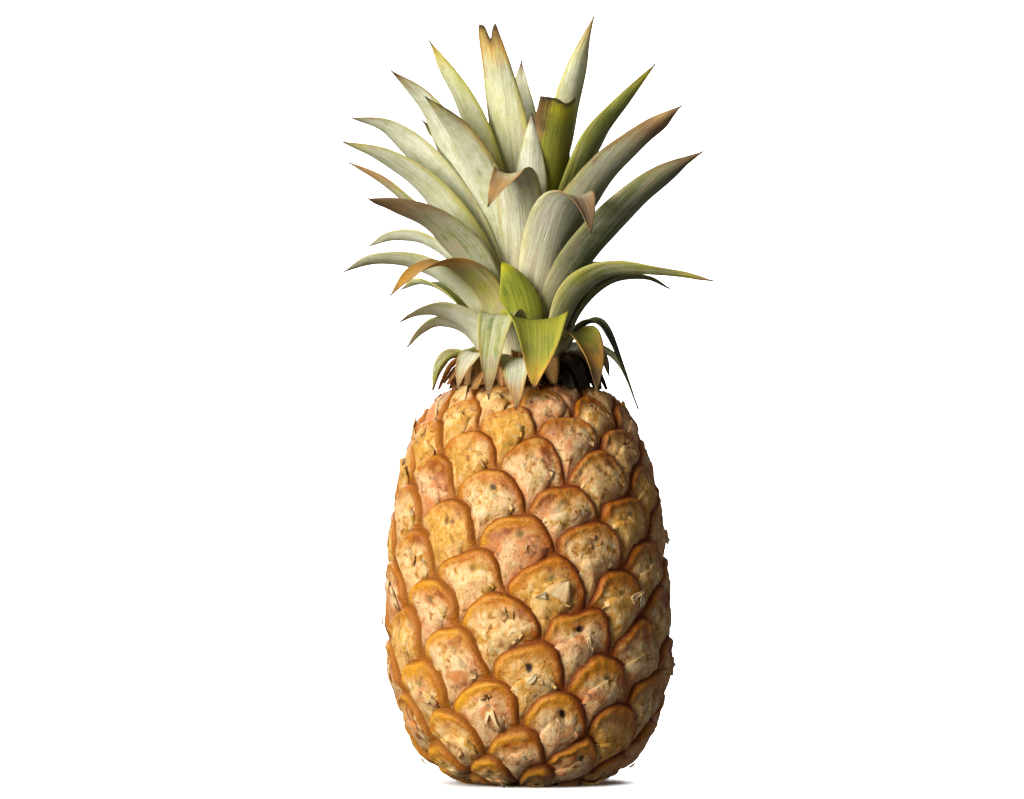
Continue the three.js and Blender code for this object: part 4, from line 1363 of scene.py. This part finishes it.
# Collar leaves whose direction lies between these two face away from the main light and are painted near
# black as painted shade.
PAINTED_SHADE_FROM = 22
PAINTED_SHADE_TO = 120
COARSE = np.s_[::5, ::2]
BASE_COUNT = 26
BASE_CLEARANCE = 0.35


def collar_leaf(i, random):
    """A short dry leaf, in the same terms as a crown leaf. It rises a little and droops onto the shoulder."""
    reach, rise = random.uniform(9, 19), random.uniform(2, 11)
    half, sweep, droop = random.uniform(5.5, 8.5), random.uniform(-4, 4), random.uniform(-2, 2)
    out = 18 + reach * np.array([0.2, 0.6, 1])
    midrib = [[16, 160], [out[0], 161 + rise], [out[1], 161 + rise * 0.8], [out[2], 157 + droop]]
    return plan("collar_leaf", math.degrees(i * GOLDEN_ANGLE), half, midrib, sweep=sweep, blunt=0.1)


def collar_part(leaf, seed):
    """The leaf's shell on every fifth row and second column of a crown leaf's grid, and half as thick."""
    surface, thickness, marks = leaf_surface(leaf, seed)
    points, faces = shell(surface[COARSE], thickness[COARSE] * COLLAR_THINNING)
    return (on_crown(points, leaf["azimuth"]), faces), (marks["along"][COARSE], marks["across"][COARSE])


def base_bract(i, random):
    """A dry scale pressed on the base. Its middle follows the outline out and up round the edge, its half
    width is part of a sine, and it stands off a little more towards its tip."""
    t, share = strip(BRACT_ROWS, BRACT_COLUMNS)
    along = -8 + random.uniform(12, 20) * t
    half = random.uniform(3, 5.5) * np.sin(math.pi * (0.25 + 0.7 * t)) * (1 - 0.3 * t)
    radius = np.interp(along, OUTLINE_ALONG, OUTLINE_R)
    turn = i * GOLDEN_ANGLE + random.uniform(-0.2, 0.2) * t + share * half / radius
    height = 0.25 + random.uniform(0, 0.9) * t + random.uniform(0, 0.15, t.shape)
    r, z = off_outline(along, height)
    points = np.stack([r * np.sin(turn), -r * np.cos(turn), np.maximum(z, BASE_CLEARANCE)], -1) * MM
    return shell(points[:, ::-1], np.full(t.shape, BRACT_THICKNESS * MM)), (t, share)


def make_collar():
    """Collar leaves at golden angles, painted near black on the side away from the main light as painted
    shade, and scales under the base.
    """
    random = np.random.default_rng(COLLAR_SEED)
    plain_leaves, painted_shade_leaves = [], []
    for i in range(COLLAR_COUNT):
        leaf = collar_leaf(i, random)
        side = painted_shade_leaves if PAINTED_SHADE_FROM < leaf["azimuth"] % 360 < PAINTED_SHADE_TO else plain_leaves
        side.append(collar_part(leaf, i))
    gather("collar_bracts", plain_leaves, paper_finish("collar_bract", "#b98f55", "#8f5f2c", "#43240f"))
    # Near-black paper for those leaves: painted shade.
    painted_shade_paper = paper_finish("painted_shade_bract", "#5a4630", "#33261a", "#120d09")
    gather("painted_shade_collar_bracts", painted_shade_leaves, painted_shade_paper)
    scales = [base_bract(i, random) for i in range(BASE_COUNT)]
    gather("base_bracts", scales, paper_finish("base_bract", "#a58c5a", "#6f5a30", "#3a2c18"))


make_collar()

# %% The cut stalk
STALK_RADIUS = 11.5
STALK_ROWS = 26
STALK_COLUMNS = 72
STALK_FACE = 0.7
STALK_TOP = 3.2
STALK_DISH = 0.35
STALK_ROUGHNESS = 0.12
FACE_SHARE = 0.8
EDGE_SWELL = 0.03


def make_stalk_end(finish):
    """The cut face as rings round the axis: out along the face, round its edge and up into the hollow. The
    face is slightly dished and a little rough, and the edge is not quite round."""
    share = np.linspace(0, 1, STALK_ROWS)[1:, None]
    turn = np.linspace(0, 2 * math.pi, STALK_COLUMNS, endpoint=False)
    face = np.minimum(1, share / FACE_SHARE)
    edge = np.clip((share - FACE_SHARE) / (1 - FACE_SHARE), 0, 1)
    wander = 1 + 0.03 * np.sin(3 * turn + 1) + 0.02 * np.sin(7 * turn)
    swell = face * (1 - EDGE_SWELL) + EDGE_SWELL * np.sin(math.pi / 2 * edge)
    radius = STALK_RADIUS * swell * wander
    rough = STALK_ROUGHNESS * np.sin(5 * radius + 3 * np.sin(2 * turn)) * face * (1 - edge)
    climb = (STALK_TOP - STALK_FACE) * (edge**2 * 0.9 + edge * 0.1)
    z = STALK_FACE + STALK_DISH * (1 - face) + rough + climb
    rings = np.stack([radius * np.sin(turn), -radius * np.cos(turn), z], -1).reshape(-1, 3)
    points = np.vstack([[0, 0, STALK_FACE + STALK_DISH], rings]) * MM
    inner = 1 + np.arange(STALK_COLUMNS)
    fan = np.column_stack([inner, np.roll(inner, -1), 0 * inner])
    quads = ring_faces(STALK_ROWS - 1, STALK_COLUMNS, 1)[:, ::-1]
    lid = len(points) - STALK_COLUMNS + np.arange(STALK_COLUMNS)
    make_piece("stalk_end", points, quads.tolist() + fan.tolist() + [lid.tolist()], finish)


def stalk_finish():
    """Cut fibres: pale dots in tan pith, and a brown ring where the cut has dried from its edge."""
    finish = Finish("stalk_cut", 0.85, 0.2)
    place = finish.place()
    x, y, _ = place.split()
    cloud = place.noise(120, 4)
    dots = place.noise(1100, 2)
    cut = finish.blend("#b58d58", "#d9c091", cloud.rise(0.4, 0.62)).under(
        ("#6f4c28", dots.rise(0.56, 0.68) * 0.8),
        ("#4a3218", (finish.distance(x, y) * 1000 + (cloud - 0.5) * 6).rise(8, 11.5) * 0.85),
    )
    finish.feed("Base Color", cut)
    finish.bump(dots + cloud * 0.5, 0.6 * MM)
    return finish


make_stalk_end(stalk_finish())
print("the stalk is", 2 * STALK_RADIUS, "mm across")
